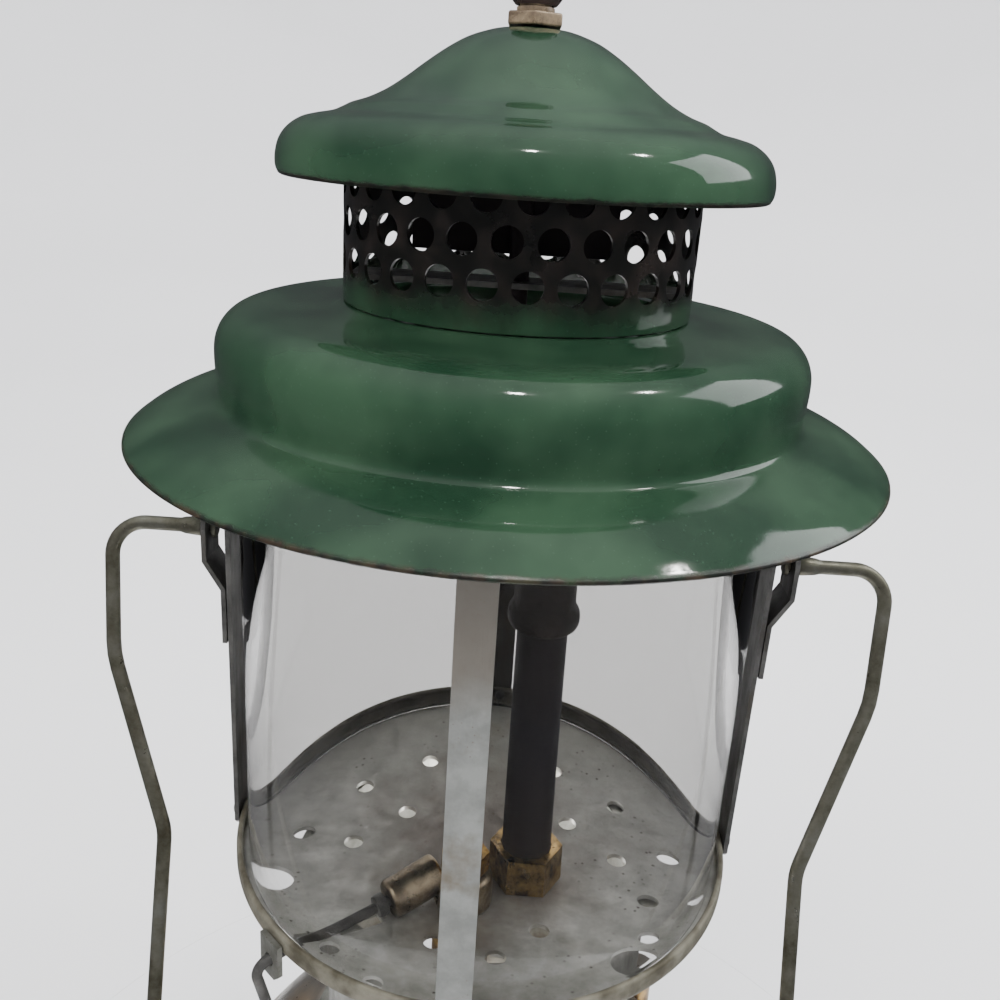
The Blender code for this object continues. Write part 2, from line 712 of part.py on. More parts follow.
def round_hole(shape, place, radius, low, high, steps=SMALL_STEPS):
    """Add one drill's cylinder to a set of drills."""
    made = bmesh.ops.create_cone(shape, cap_ends=True, segments=steps, radius1=radius,
                                 radius2=radius, depth=high - low)
    middle = (place[0], place[1], (low + high) / 2)
    bmesh.ops.translate(shape, verts=made["verts"], vec=middle)


def pan():
    outer = FLANGE_RADIUS
    inner = outer - PAN_WALL
    top = PAN_Z + PAN_FLANGE
    outline = [(0, PLATE_Z), (inner, PLATE_Z), (inner, top - PAN_WALL), (inner - PAN_LIP, top - PAN_LIP),
               (inner, top), (outer, top - PAN_LIP), (outer, PAN_Z + PAN_LIP), (outer - PAN_LIP, PAN_Z),
               (0, PAN_Z)]
    plate = turned("frame_pan", outline, galvanised())
    drills = bmesh.new()
    low, high = PAN_Z - OVERRUN, PLATE_Z + OVERRUN
    for share, azimuth in VENT_SHARES:
        round_hole(drills, around(inner * share, azimuth * DEG), VENT_RADIUS, low, high, 8)
    for share, azimuth in LIGHTING_HOLE_SHARES:
        round_hole(drills, around(inner * share, azimuth * DEG), LIGHTING_HOLE_RADIUS, low, high)
    round_hole(drills, AIR_TUBE_PLACE, AIR_TUBE_RADIUS + SEAT_GAP, low, high, MEDIUM_STEPS)
    round_hole(drills, GENERATOR_PLACE, SPIGOT_RADIUS + SEAT_GAP, low, high, MEDIUM_STEPS)
    cut_in_place(plate, as_cutter(mesh_object("pan_drills", drills, galvanised())))
    inner_end, outer_end = lever_ends()
    run = (outer_end - inner_end).to_2d()
    slot_start = inner_end.to_2d() + run.normalized() * (LEVER_RADIUS + SEAT_GAP)
    slot_length = inner - PAN_LIP - slot_start.length
    half = SLOT_WIDTH / 2
    slot = as_cutter(prism("pan_lever_slot", [(0, -half), (slot_length, -half), (slot_length, half), (0, half)],
                           PAN_WALL + 2 * OVERRUN, galvanised()))
    slot.location = (slot_start.x, slot_start.y, PAN_Z - OVERRUN)
    slot.rotation_euler = (0, 0, math.atan2(run.y, run.x))
    cut_in_place(plate, slot)
    for name, azimuth in STRAP_AZIMUTHS.items():
        hole = rod_cutter("pan_rivet_hole_" + name, RIVET_RADIUS + SEAT_GAP, -OVERRUN, OVERRUN, SMALL_STEPS)
        aim(hole, around(outer, azimuth, PAN_Z + RIVET_RISE), around(1, azimuth))
        cut_in_place(plate, hole)


def upright(name, azimuth, top):
    """A flat strap outside the pan's flange, with a round foot and a rivet through it."""
    half = STRAP_WIDTHS[name] / 2
    foot = [(half * math.cos(math.pi * step / 4), STRAP_FOOT - STRAP_FOOT * math.sin(math.pi * step / 4))
            for step in range(5)]
    outline = [(half, top - PAN_Z), (-half, top - PAN_Z)] + list(reversed(foot))
    strap = prism("upright_" + name, outline, STRAP_WALL, galvanised())
    strap.rotation_euler = (math.pi / 2, 0, azimuth + math.pi / 2)
    strap.location = around(STRAP_RADIUS, azimuth, PAN_Z)
    hole = rod_cutter("strap_hole_" + name, RIVET_RADIUS + SEAT_GAP, -OVERRUN, OVERRUN, SMALL_STEPS)
    aim(hole, around(STRAP_RADIUS, azimuth, PAN_Z + RIVET_RISE), around(1, azimuth))
    cut_in_place(strap, hole)
    face = STRAP_RADIUS + STRAP_WALL + SEAT_GAP
    back = FLANGE_RADIUS - PAN_WALL
    rivet = [(0, face + RIVET_HEAD_HEIGHT), (RIVET_HEAD * 2 / 3, face + RIVET_HEAD_HEIGHT * 3 / 4),
             (RIVET_HEAD, face), (RIVET_RADIUS, face), (RIVET_RADIUS, back), (0, back)]
    aim(turned("rivet_" + name, rivet, dark_steel(), SMALL_STEPS),
        around(0, azimuth, PAN_Z + RIVET_RISE), around(1, azimuth))


def bail_ear(name, side):
    """Strip lapped on an upright, jogged outward to a flat ear with the bail's hole."""
    foot_z = PIVOT_Z - EAR_BELOW_PIVOT - EAR_STEP
    line = [(EAR_RADIUS, foot_z - EAR_LAP), (EAR_RADIUS, foot_z),
            (PIVOT_RADIUS, PIVOT_Z - EAR_BELOW_PIVOT), (PIVOT_RADIUS, PIVOT_Z + EAR_ABOVE_PIVOT)]
    outline = [(x, z) for x, z in thickened(line, STRAP_WALL)]
    ear = prism("bail_ear_" + name, outline, STRAP_WIDTHS[name], galvanised())
    bevel = ear.modifiers.new("ear_corners", "BEVEL")
    bevel.width = EAR_CORNER
    bevel.segments = 3
    bevel.limit_method = "WEIGHT"
    weights = ear.data.attributes.new("bevel_weight_edge", "FLOAT", "EDGE")
    top = max(z for x, z in outline)
    for edge in ear.data.edges:
        ends = [ear.data.vertices[index].co for index in edge.vertices]
        if all(abs(end.y - top) < SEAT_GAP for end in ends) and abs(ends[0].x - ends[1].x) > SEAT_GAP:
            weights.data[edge.index].value = 1.0
    half = STRAP_WIDTHS[name] / 2
    ear.rotation_euler = (math.pi / 2, 0, 0 if side > 0 else math.pi)
    ear.location = (0, half * side, 0)
    hole = rod_cutter("ear_hole_" + name, BAIL_PIN + RUN_GAP, -OVERRUN, OVERRUN, SMALL_STEPS)
    aim(hole, (PIVOT_RADIUS * side, 0, PIVOT_Z), (1, 0, 0))
    cut_in_place(ear, hole)


def bail_reach():
    """Pivot to hand loop: over the ball with room for a hand."""
    return cap_level() + CAP_HEIGHT + SEAT_GAP + ball_height() - PIVOT_Z + BAIL_HAND_ROOM


def rest_tilt():
    """Lean at which the hanging bail's hand loop comes to rest on the fount's shoulder."""
    side = [Vector((0, FOUNT_HEIGHT))] + [Vector(place) for place in fount_side()]
    reach = bail_reach()
    tilt = 0
    gap = 0
    while gap < BAIL_WIRE + BAIL_REST_GAP and tilt < math.pi / 2:
        tilt += BAIL_TILT_STEP
        loop = Vector((reach * math.sin(tilt), PIVOT_Z - reach * math.cos(tilt)))
        gap = min(run_gap(loop, first, second) for first, second in zip(side, side[1:]))
        if loop.y < height_on(side, loop.x):
            gap = 0
    return tilt


def run_gap(place, first, second):
    """Distance of a place from a straight run."""
    run = second - first
    share = min(1, max(0, (place - first).dot(run) / run.length_squared))
    return (place - first - run * share).length


def bail():
    """One wire: peened head, pin through the ear, swage, shoulder, leg and hand loop."""
    ear_inner = PIVOT_RADIUS - RUN_GAP
    ear_outer = PIVOT_RADIUS + STRAP_WALL + RUN_GAP
    swage_end = ear_outer + BAIL_SWAGE_LENGTH
    shoulder = swage_end + BAIL_SHOULDER_RUN
    leg = shoulder - BAIL_LEG_INSET
    side = [(swage_end + BAIL_WIRE, 0, 0), (shoulder, 0, 0), (shoulder - BAIL_ARM_TAPER, 0, -BAIL_ARM_DROP),
            (leg, 0, -BAIL_LEG_DROP), (leg, 0, -bail_reach())]
    bends = [BAIL_BENDS[part] for part in ("shoulder", "arm", "leg", "loop")]
    corners = side + [(-x, y, z) for x, y, z in reversed(side)]
    path = rounded_path(corners, bends + list(reversed(bends)))
    pin = BAIL_PIN / BAIL_WIRE
    head = BAIL_HEAD / BAIL_WIRE
    swage = BAIL_SWAGE / BAIL_WIRE
    step = SEAT_GAP / 3
    stub = [(ear_inner - BAIL_HEAD_LENGTH, pin), (ear_inner - BAIL_HEAD_LENGTH + step, head),
            (ear_inner - step, head), (ear_inner, pin), (ear_outer, pin), (ear_outer + step, swage),
            (swage_end - step, swage), (swage_end, 1.0)]
    right = [(Vector((x, 0, 0)), swell) for x, swell in stub]
    left = [(Vector((-x, 0, 0)), swell) for x, swell in reversed(stub)]
    points = right + [(place, 1.0) for place in path] + left
    made = wire("bail", [place for place, swell in points], BAIL_WIRE, bail_steel(),
                [swell for place, swell in points])
    made.location = (0, 0, PIVOT_Z)
    made.rotation_euler = (-rest_tilt(), 0, 0)


def globe():
    outer, inner = GLOBE_RADIUS, GLOBE_RADIUS - GLOBE_WALL
    top, ease = GLOBE_HEIGHT, GLOBE_EASE
    outline = [(inner, top), (outer - ease, top), (outer, top - ease),
               (outer, ease), (outer - ease, 0), (inner, 0)]
    turned("globe", outline, glass()).location = (0, 0, GLOBE_Z)


def hood_outline():
    """Outside of the hood from its collar lip to the rim of its brim, from the rim's level."""
    ring_top = HOOD_RING_RADIUS - HOOD_SHOULDER
    lip_end = NECK_RADIUS + LIP_OUTSIDE
    lip_z = HOOD_CROWN + LIP_RISE
    points = [(NECK_RADIUS - LIP_INSIDE, lip_z), (lip_end, lip_z)]
    points += [(lip_end + (ring_top - lip_end) * out, HOOD_CROWN + LIP_RISE * up)
               for out, up in COVE_SHARES]
    for step in range(HOOD_SHOULDER_STEPS + 1):
        turn = math.pi / 2 * (1 - step / HOOD_SHOULDER_STEPS)
        points.append((ring_top + HOOD_SHOULDER * math.cos(turn),
                       HOOD_CROWN - HOOD_SHOULDER + HOOD_SHOULDER * math.sin(turn)))
    root = HOOD_RING_RADIUS - HOOD_RING_TAPER
    points.append((root, BRIM_ROOT))
    points += [(root + (BRIM_RADIUS - root) * out, BRIM_ROOT * up) for out, up in BRIM_SHARES]
    return points


def cap_outline():
    """Outside of the cap from its stud hole to its rim, from the rim's level."""
    hole = STUD_RADIUS + RUN_GAP
    return [(hole, CAP_HEIGHT)] + [(CAP_RADIUS * out, CAP_HEIGHT * up) for out, up in CAP_OUTLINE_SHARES]


def cap_level():
    """Level of the cap's rim that seats the cap's underside on the neck band."""
    inside = underside(cap_outline(), CAP_WALL)
    return NECK_Z + NECK_HEIGHT + SEAT_GAP - height_on(inside, NECK_RADIUS)


def neck_band():
    """Rolled sheet with staggered rows of round holes, one eight-sided hole to a cell."""
    shape = bmesh.new()
    half_cell = TURN / NECK_HOLES / 2
    columns = 2 * NECK_HOLES

    def point(column, height):
        turn = NECK_PHASE - math.pi / 2 + (column - 1) * half_cell
        return shape.verts.new(around(NECK_RADIUS, turn, height))

    levels = [NECK_FOOT + NECK_PITCH * row for row in range(NECK_ROWS + 1)]
    lines = [[point(column, level) for column in range(columns)] for level in levels]
    for row in range(NECK_ROWS):
        low, high = lines[row], lines[row + 1]
        shift = row % 2
        middle = levels[row] + NECK_PITCH / 2
        posts = [point(2 * hole + shift, middle) for hole in range(NECK_HOLES)]
        for hole in range(NECK_HOLES):
            left = 2 * hole + shift
            mid, right = (left + 1) % columns, (left + 2) % columns
            border = [posts[(hole + 1) % NECK_HOLES], high[right], high[mid], high[left % columns],
                      posts[hole], low[left % columns], low[mid], low[right]]
            rim = []
            for step in range(8):
                turn = TURN * step / 8
                across = NECK_HOLE_RADIUS * math.cos(turn) / (NECK_RADIUS * half_cell)
                rim.append(point(left + 1 + across, middle + NECK_HOLE_RADIUS * math.sin(turn)))
            for step in range(8):
                following = (step + 1) % 8
                shape.faces.new((border[step], border[following], rim[following], rim[step]))
    foot = [point(column, 0) for column in range(columns)]
    top = [point(column, NECK_HEIGHT) for column in range(columns)]
    for below, above in ((foot, lines[0]), (lines[-1], top)):
        for column in range(columns):
            following = (column + 1) % columns
            shape.faces.new((below[column], below[following], above[following], above[column]))
    band = mesh_object("neck_band", shape, enamel())
    band.location = (0, 0, NECK_Z)
    wall = band.modifiers.new("sheet", "SOLIDIFY")
    wall.thickness = NECK_WALL
    wall.offset = -1


def crossbar():
    """Flat strap across the neck, bent down at both ends, holed for the stud."""
    reach = math.sqrt((NECK_RADIUS - NECK_WALL) ** 2 - (CROSSBAR_WIDTH / 2) ** 2) - 2 * SEAT_GAP
    line = [(-reach, -CROSSBAR_TAB), (-reach, 0), (reach, 0), (reach, -CROSSBAR_TAB)]
    bar = prism("neck_crossbar", thickened(line, CROSSBAR_WALL), CROSSBAR_WIDTH, galvanised())
    bar.rotation_euler = (math.pi / 2, 0, 0)
    bar.location = (0, CROSSBAR_WIDTH / 2, NECK_Z + CROSSBAR_RISE + CROSSBAR_WALL)
    hole = rod_cutter("crossbar_hole", STUD_RADIUS + RUN_GAP, NECK_Z - OVERRUN, NECK_Z + 3 * OVERRUN)
    cut_in_place(bar, hole)


def ventilator():
    turned("hood", thickened(hood_outline(), HOOD_WALL), enamel()).location = (0, 0, RIM_Z)
    neck_band()
    crossbar()
    turned("cap", thickened(cap_outline(), CAP_WALL), enamel()).location = (0, 0, cap_level())


def ball_height():
    """Top of the ball above the foot of its nut."""
    return NUT_HEIGHT + NUT_NECK_HEIGHT + SEAT_GAP + ball_drop() + BALL_RADIUS


def ball_bore():
    """Radius of the hole in the ball, a clearance wider than the spigot that it is pressed on."""
    return STUD_RADIUS + SEAT_GAP + NUT_SPIGOT_WALL + SEAT_GAP


def ball_drop():
    """Centre of the ball above the flat ring that it stands on."""
    return math.sqrt(BALL_RADIUS ** 2 - (ball_bore() + BALL_LIP) ** 2)


def ball_nut():
    foot = cap_level() + CAP_HEIGHT + SEAT_GAP
    bore = STUD_RADIUS + SEAT_GAP
    spigot = bore + NUT_SPIGOT_WALL
    neck_top = NUT_HEIGHT + NUT_NECK_HEIGHT
    sleeve = turned("ball_nut_sleeve",
                    [(0, NUT_BORE_DEPTH + NUT_CROWN), (spigot, NUT_BORE_DEPTH + NUT_CROWN),
                     (spigot, neck_top), (NUT_NECK_RADIUS, neck_top),
                     (NUT_NECK_RADIUS, NUT_HEIGHT / 2), (bore, NUT_HEIGHT / 2),
                     (bore, NUT_BORE_DEPTH), (0, NUT_BORE_DEPTH)], brass(), SMALL_STEPS)
    sleeve.location = (0, 0, foot)
    hexagon = hex_nut("ball_nut_hexagon", NUT_FLATS, NUT_HEIGHT, bore, brass())
    hexagon.location = (0, 0, foot)
    weld(sleeve, hexagon)
    centre = ball_height() - BALL_RADIUS
    inside = ball_bore()
    roof = NUT_BORE_DEPTH + NUT_CROWN + SEAT_GAP
    start = math.asin(ball_drop() / BALL_RADIUS)
    steps = BALL_STEPS
    arc = []
    for step in range(steps + 1):
        turn = math.pi / 2 - (math.pi / 2 + start) * step / steps
        arc.append((BALL_RADIUS * math.cos(turn), centre + BALL_RADIUS * math.sin(turn)))
    arc[0] = (0, arc[0][1])
    outline = arc + [(inside, arc[-1][1]), (inside, roof), (0, roof)]
    turned("ball_knob", outline, black_knob(), LARGE_STEPS // 2).location = (0, 0, foot)


def stud():
    top = cap_level() + CAP_HEIGHT + NUT_BORE_DEPTH
    low = RIM_Z - STUD_BOSS_RISE - STUD_SEAT + SEAT_GAP
    turned("ventilator_stud", rod_outline(STUD_RADIUS, low, top), dark_steel(), SMALL_STEPS)
    nut = hex_nut("stud_lock_nut", STUD_NUT_FLATS, STUD_NUT_HEIGHT, STUD_RADIUS + SEAT_GAP, dark_steel())
    nut.location = (0, 0, RIM_Z - STUD_BOSS_RISE + SEAT_GAP)


def burner_casting():
    """Cast manifold: air tube socket, mixing lump, two arms, stud boss and jet boss."""
    level = RIM_Z - CASTING_LEVEL
    foot = RIM_Z - CASTING_FOOT
    boss = [(0, level + CASTING_EASE), (CASTING_NECK_RADIUS, level + CASTING_EASE),
            (CASTING_NECK_RADIUS, foot + CASTING_BEAD + CASTING_EASE),
            (CASTING_BOSS_RADIUS, foot + CASTING_BEAD), (CASTING_BOSS_RADIUS, foot + CASTING_EASE),
            (CASTING_BOSS_RADIUS - CASTING_EASE, foot), (0, foot)]
    body = turned("burner_casting", boss, cast_iron(), MEDIUM_STEPS)
    body.location = (*AIR_TUBE_PLACE, 0)
    lump = bmesh.new()
    bmesh.ops.create_uvsphere(lump, u_segments=SMALL_STEPS, v_segments=SMALL_STEPS // 2, radius=1)
    bmesh.ops.scale(lump, verts=lump.verts, vec=CASTING_LUMP)
    bmesh.ops.translate(lump, verts=lump.verts, vec=(*CASTING_LUMP_PLACE, level))
    weld(body, mesh_object("casting_lump", lump, cast_iron()))
    arms = turned("casting_arms", rod_outline(ARM_RADIUS, -ARM_REACH, ARM_REACH), cast_iron(), SMALL_STEPS)
    weld(body, aim(arms, (0, ARM_PLACE, level), (1, 0, 0)))
    for side, word in ((-1, "left"), (1, "right")):
        socket = turned("casting_socket_" + word, rod_outline(SOCKET_RADIUS, -SOCKET_DROP, SOCKET_RISE),
                        cast_iron(), MEDIUM_STEPS)
        socket.location = (side * ARM_REACH, ARM_PLACE, level)
        weld(body, socket)
    top = turned("casting_stud_boss", rod_outline(STUD_BOSS_RADIUS, level - CASTING_EASE, RIM_Z - STUD_BOSS_RISE),
                 cast_iron(), MEDIUM_STEPS)
    weld(body, top)
    jet = turned("casting_jet_boss", rod_outline(JET_BOSS_RADIUS, 0, JET_BOSS_REACH), cast_iron(), SMALL_STEPS)
    weld(body, aim(jet, (GENERATOR_PLACE[0], 0, level), (0, -1, 0)))
    bores = bmesh.new()
    round_hole(bores, AIR_TUBE_PLACE, AIR_TUBE_RADIUS + SEAT_GAP, foot - OVERRUN, RIM_Z - CASTING_SOCKET,
               MEDIUM_STEPS)
    for side in (-1, 1):
        round_hole(bores, (side * ARM_REACH, ARM_PLACE), SOCKET_BORE, level - SOCKET_DROP - OVERRUN,
                   level - CASTING_EASE, MEDIUM_STEPS)
    round_hole(bores, (0, 0), STUD_RADIUS + SEAT_GAP, RIM_Z - STUD_BOSS_RISE - STUD_SEAT, RIM_Z)
    cut_in_place(body, as_cutter(mesh_object("casting_bores", bores, cast_iron())))


def burner_caps():
    low = RIM_Z - CASTING_LEVEL - SOCKET_DROP
    for side, word in ((-1, "left"), (1, "right")):
        place = (side * ARM_REACH, ARM_PLACE, low)
        spigot = SOCKET_BORE - SEAT_GAP
        bore = spigot - BURNER_CAP_WALL
        foot = -SEAT_GAP - BURNER_CAP_HEIGHT
        middle = -SEAT_GAP - BURNER_CAP_HEIGHT / 2
        outline = [(bore, SOCKET_DROP / 2), (spigot, SOCKET_DROP / 2), (spigot, -SEAT_GAP),
                   (BURNER_CAP_RADIUS, -SEAT_GAP), (BURNER_CAP_RADIUS - GROOVE_DEPTH, middle),
                   (BURNER_CAP_RADIUS, foot), (bore + BURNER_CAP_WALL / 2, foot),
                   (bore + BURNER_CAP_WALL / 2, foot + 2 * SCREEN_WALL), (bore, foot + 2 * SCREEN_WALL)]
        turned("burner_cap_" + word, outline, cast_iron(), MEDIUM_STEPS).location = place
        screen = rod_outline(bore + BURNER_CAP_WALL / 2 - SEAT_GAP, foot + SCREEN_WALL - SEAT_GAP,
                             foot + 2 * SCREEN_WALL - SEAT_GAP)
        turned("burner_screen_" + word, screen, dark_steel(), SMALL_STEPS).location = place


def air_tube():
    low, high = PAN_Z - AIR_TUBE_BELOW_PAN, RIM_Z - CASTING_SOCKET - SEAT_GAP
    tube = turned("air_tube", tube_outline(AIR_TUBE_RADIUS, AIR_TUBE_RADIUS - AIR_TUBE_WALL, low, high),
                  dark_steel(), MEDIUM_STEPS)
    tube.location = (*AIR_TUBE_PLACE, 0)
    nut = hex_nut("air_tube_nut", AIR_NUT_FLATS, AIR_NUT_HEIGHT, AIR_TUBE_RADIUS + SEAT_GAP, brass(),
                  0)
    nut.location = (*AIR_TUBE_PLACE, GLOBE_Z)


def generator():
    """Tube from the tip cleaner's block up and over to the casting's jet boss, bored for the needle."""
    x, y = GENERATOR_PLACE
    foot = GLOBE_Z + BLOCK_HEIGHT + SEAT_GAP
    level = RIM_Z - CASTING_LEVEL
    end = -JET_BOSS_REACH - SEAT_GAP
    path = rounded_path([(x, y, foot), (x, y, level), (x, end, level)], [GENERATOR_BEND])
    tube = as_mesh(wire("generator_tube", path, GENERATOR_RADIUS, dark_steel()))
    bore = rod_cutter("generator_bore", GENERATOR_BORE, foot - OVERRUN, RIM_Z - NEEDLE_TOP + OVERRUN,
                      SMALL_STEPS)
    bore.location = (x, y, 0)
    cut_in_place(tube, bore)
    nut = hex_nut("generator_nut", GENERATOR_NUT_FLATS, GENERATOR_NUT_HEIGHT, GENERATOR_RADIUS + SEAT_GAP,
                  brass())
    nut.location = (x, y, foot)
    elbow = hex_nut("generator_elbow_nut", GENERATOR_NUT_FLATS, ELBOW_NUT_LENGTH,
                    GENERATOR_RADIUS + SEAT_GAP, brass())
    aim(elbow, (x, end, level), (0, -1, 0))


def lever_ends():
    inner = Vector((*LEVER_INNER, PLATE_Z + LEVER_INNER_RISE))
    outer = Vector((*LEVER_OUTER, PLATE_Z - LEVER_OUTER_DROP))
    return inner, outer


def tip_cleaner():
    inner, outer = lever_ends()
    along = (inner - outer).normalized()
    x, y = GENERATOR_PLACE
    block = turned("tip_cleaner_block", rod_outline(BLOCK_RADIUS, GLOBE_Z, GLOBE_Z + BLOCK_HEIGHT),
                   brass(), MEDIUM_STEPS)
    block.location = (x, y, 0)
    barrel = turned("tip_cleaner_barrel", rod_outline(BARREL_RADIUS, SEAT_GAP, BARREL_LENGTH), brass(),
                    MEDIUM_STEPS)
    weld(block, aim(barrel, inner, along))
    cut_in_place(block, level_cutter("block_foot", GLOBE_Z))
    needle_way = rod_cutter("block_needle_bore", BLOCK_BORE, GLOBE_Z - OVERRUN,
                            GLOBE_Z + BLOCK_HEIGHT + OVERRUN, SMALL_STEPS)
    needle_way.location = (x, y, 0)
    cut_in_place(block, needle_way)
    reach = (Vector((x, y)) - inner.to_2d()).length
    lever_way = rod_cutter("block_lever_bore", LEVER_RADIUS + RUN_GAP, -OVERRUN, BARREL_LENGTH - OVERRUN,
                           SMALL_STEPS)
    aim(lever_way, inner, along)
    cut_in_place(block, lever_way)
    top = RIM_Z - NEEDLE_TOP
    low = GLOBE_Z + BLOCK_HEIGHT / 2
    needle = turned("cleaning_needle", rod_outline(NEEDLE_RADIUS, low, top), nickel(), 8)
    needle.location = (x, y, 0)
    down = Vector((0, 0, -1)) + along * along.z
    tip = outer + down.normalized() * LEVER_DROP
    start = inner + along * (BARREL_LENGTH - 2 * OVERRUN)
    path = rounded_path([start, outer, tip], [LEVER_BEND])
    collar_swell = LEVER_COLLAR / LEVER_RADIUS
    step = SEAT_GAP / 3
    collar_run = [(inner - along * RUN_GAP, 1.0), (inner - along * (RUN_GAP + step), collar_swell),
                  (inner - along * (RUN_GAP + LEVER_COLLAR_LENGTH), collar_swell),
                  (inner - along * (RUN_GAP + LEVER_COLLAR_LENGTH + step), 1.0)]
    ball = []
    for index in range(1, 6):
        turn = math.pi * index / 6
        place = path[-1] + (path[-1] - path[-2]).normalized() * LEVER_BALL * (1 - math.cos(turn))
        ball.append((place, LEVER_BALL * math.sin(turn) / LEVER_RADIUS))
    points = [(path[0], 1.0)] + collar_run + [(place, 1.0) for place in path[1:]] + ball
    wire("tip_cleaner_lever", [place for place, swell in points], LEVER_RADIUS, dark_steel(),
         [swell for place, swell in points])
    lever_bracket(outer, along)


def level_cutter(name, level):
    """A wide flat block whose top is at a level."""
    half = 2 * BLOCK_RADIUS + BARREL_LENGTH
    block = prism(name, [(-half, -half), (half, -half), (half, half), (-half, half)], OVERRUN, brass())
    block.location = (*GENERATOR_PLACE, level - OVERRUN)
    return as_cutter(block)


def lever_bracket(outer, along):
    """Small tab on the outside of the pan's flange that the lever turns in."""
    share = (FLANGE_RADIUS + SEAT_GAP + BRACKET_WALL / 2 - outer.to_2d().length) / -along.to_2d().length
    centre = outer - along * -share
    azimuth = math.atan2(centre.y, centre.x)
    half = BRACKET_WIDTH / 2
    up = PAN_Z + BRACKET_RISE - centre.z
    down = -BRACKET_DROP
    outline = [(-half, up), (-half, down + half / 2), (-half / 2, down), (half / 2, down),
               (half, down + half / 2), (half, up)]
    tab = prism("lever_bracket", outline, BRACKET_WALL, galvanised())
    tab.rotation_euler = (math.pi / 2, 0, azimuth + math.pi / 2)
    seat = math.sqrt(FLANGE_RADIUS ** 2)
    tab.location = around(seat + SEAT_GAP, azimuth, centre.z)
    hole = rod_cutter("bracket_hole", LEVER_RADIUS + RUN_GAP, -2 * OVERRUN, 2 * OVERRUN, SMALL_STEPS)
    aim(hole, centre, along)
    cut_in_place(tab, hole)


def valve():
    x, y = GENERATOR_PLACE
    top = PAN_Z - SEAT_GAP
    outline = [(0, PLATE_Z), (SPIGOT_RADIUS, PLATE_Z), (SPIGOT_RADIUS, top - PAN_WALL),
               (VALVE_RADIUS, top - VALVE_SHOULDER), (VALVE_RADIUS, FOUNT_HEIGHT + SEAT_GAP),
               (VALVE_THREAD_RADIUS, FOUNT_HEIGHT + SEAT_GAP),
               (VALVE_THREAD_RADIUS, FOUNT_HEIGHT - VALVE_THREAD_DEPTH), (0, FOUNT_HEIGHT - VALVE_THREAD_DEPTH)]
    body = turned("valve_body", outline, brass(), MEDIUM_STEPS)
    body.location = (x, y, 0)
    base = prism("valve_hexagon", ring_points(VALVE_BASE_FLATS / math.sqrt(3), 6), VALVE_BASE_HEIGHT, brass())
    base.location = (x, y, FOUNT_HEIGHT + SEAT_GAP)
    weld(body, base)
    level = FOUNT_HEIGHT + STEM_RISE
    along = around(1, STEM_AZIMUTH)
    boss = turned("valve_stem_boss", rod_outline(STEM_BOSS_RADIUS, 0, STEM_BOSS_REACH), brass(), MEDIUM_STEPS)
    weld(body, aim(boss, (x, y, level), along))
    way = rod_cutter("valve_stem_bore", STEM_RADIUS + RUN_GAP, STEM_START - SEAT_GAP,
                     STEM_BOSS_REACH + OVERRUN, SMALL_STEPS)
    cut_in_place(body, aim(way, (x, y, level), along))
    packing = hex_nut("valve_packing_nut", PACKING_FLATS, PACKING_LENGTH, STEM_RADIUS + RUN_GAP, brass())
    aim(packing, Vector((x, y, level)) + along * (STEM_BOSS_REACH + SEAT_GAP), along)
    stem = turned("valve_stem", rod_outline(STEM_RADIUS, STEM_START, WHEEL_REACH + WHEEL_HUB_WIDTH / 2),
                  brass(), SMALL_STEPS)
    aim(stem, (x, y, level), along)
    pickup = turned("fuel_pickup_tube",
                    rod_outline(PICKUP_RADIUS, FOUNT_WALL + BOTTOM_RECESS + BOTTOM_CROWN + PICKUP_CLEARANCE,
                                FOUNT_HEIGHT - VALVE_THREAD_DEPTH - SEAT_GAP), brass(), SMALL_STEPS)
    pickup.location = (x, y, 0)
    wheel(Vector((x, y, level)), along)


def wheel(origin, along):
    """Lobed valve wheel, dished on both faces, with a hub that is bored for the stem."""
    count = WHEEL_LOBES * 4
    rim = []
    for step in range(count):
        turn = TURN * step / count
        reach = WHEEL_RADIUS * (1 - WHEEL_LOBE_SHARE / 2 + WHEEL_LOBE_SHARE / 2 * math.cos(WHEEL_LOBES * turn))
        rim.append((reach * math.cos(turn), reach * math.sin(turn)))
    disc = prism("valve_wheel", rim, WHEEL_WIDTH, black_knob())
    aim(disc, origin + along * WHEEL_REACH, along)
    dish_outer = WHEEL_RADIUS * (1 - WHEEL_LOBE_SHARE) - 2 * WHEEL_DISH
    for word, low, high in (("back", -OVERRUN, WHEEL_DISH), ("front", WHEEL_WIDTH - WHEEL_DISH,
                                                             WHEEL_WIDTH + OVERRUN)):
        dish = turned("wheel_dish_" + word, tube_outline(dish_outer, WHEEL_HUB, low, high), black_knob(),
                      MEDIUM_STEPS)
        cut(disc, as_cutter(dish))
    cut(disc, rod_cutter("wheel_bore", STEM_RADIUS + SEAT_GAP, -OVERRUN, WHEEL_HUB_WIDTH / 2 + SEAT_GAP,
                         SMALL_STEPS))


def build():
    empty_scene()
    fount_shell()
    fount_bottom()
    filler()
    pump()
    plunger()
    collar()
    pan()
    strap_top = RIM_Z + height_on(underside(hood_outline(), HOOD_WALL)[-len(BRIM_SHARES) - 1:],
                                  STRAP_RADIUS + STRAP_WALL) - SEAT_GAP
    for name, azimuth in STRAP_AZIMUTHS.items():
        upright(name, azimuth, strap_top)
    bail_ear("left", -1)
    bail_ear("right", 1)
    bail()
    globe()
    ventilator()
    ball_nut()
    stud()
    burner_casting()
    burner_caps()
    air_tube()
    generator()
    tip_cleaner()
    valve()


build()
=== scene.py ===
import math

import bpy
from mathutils import Matrix, Vector


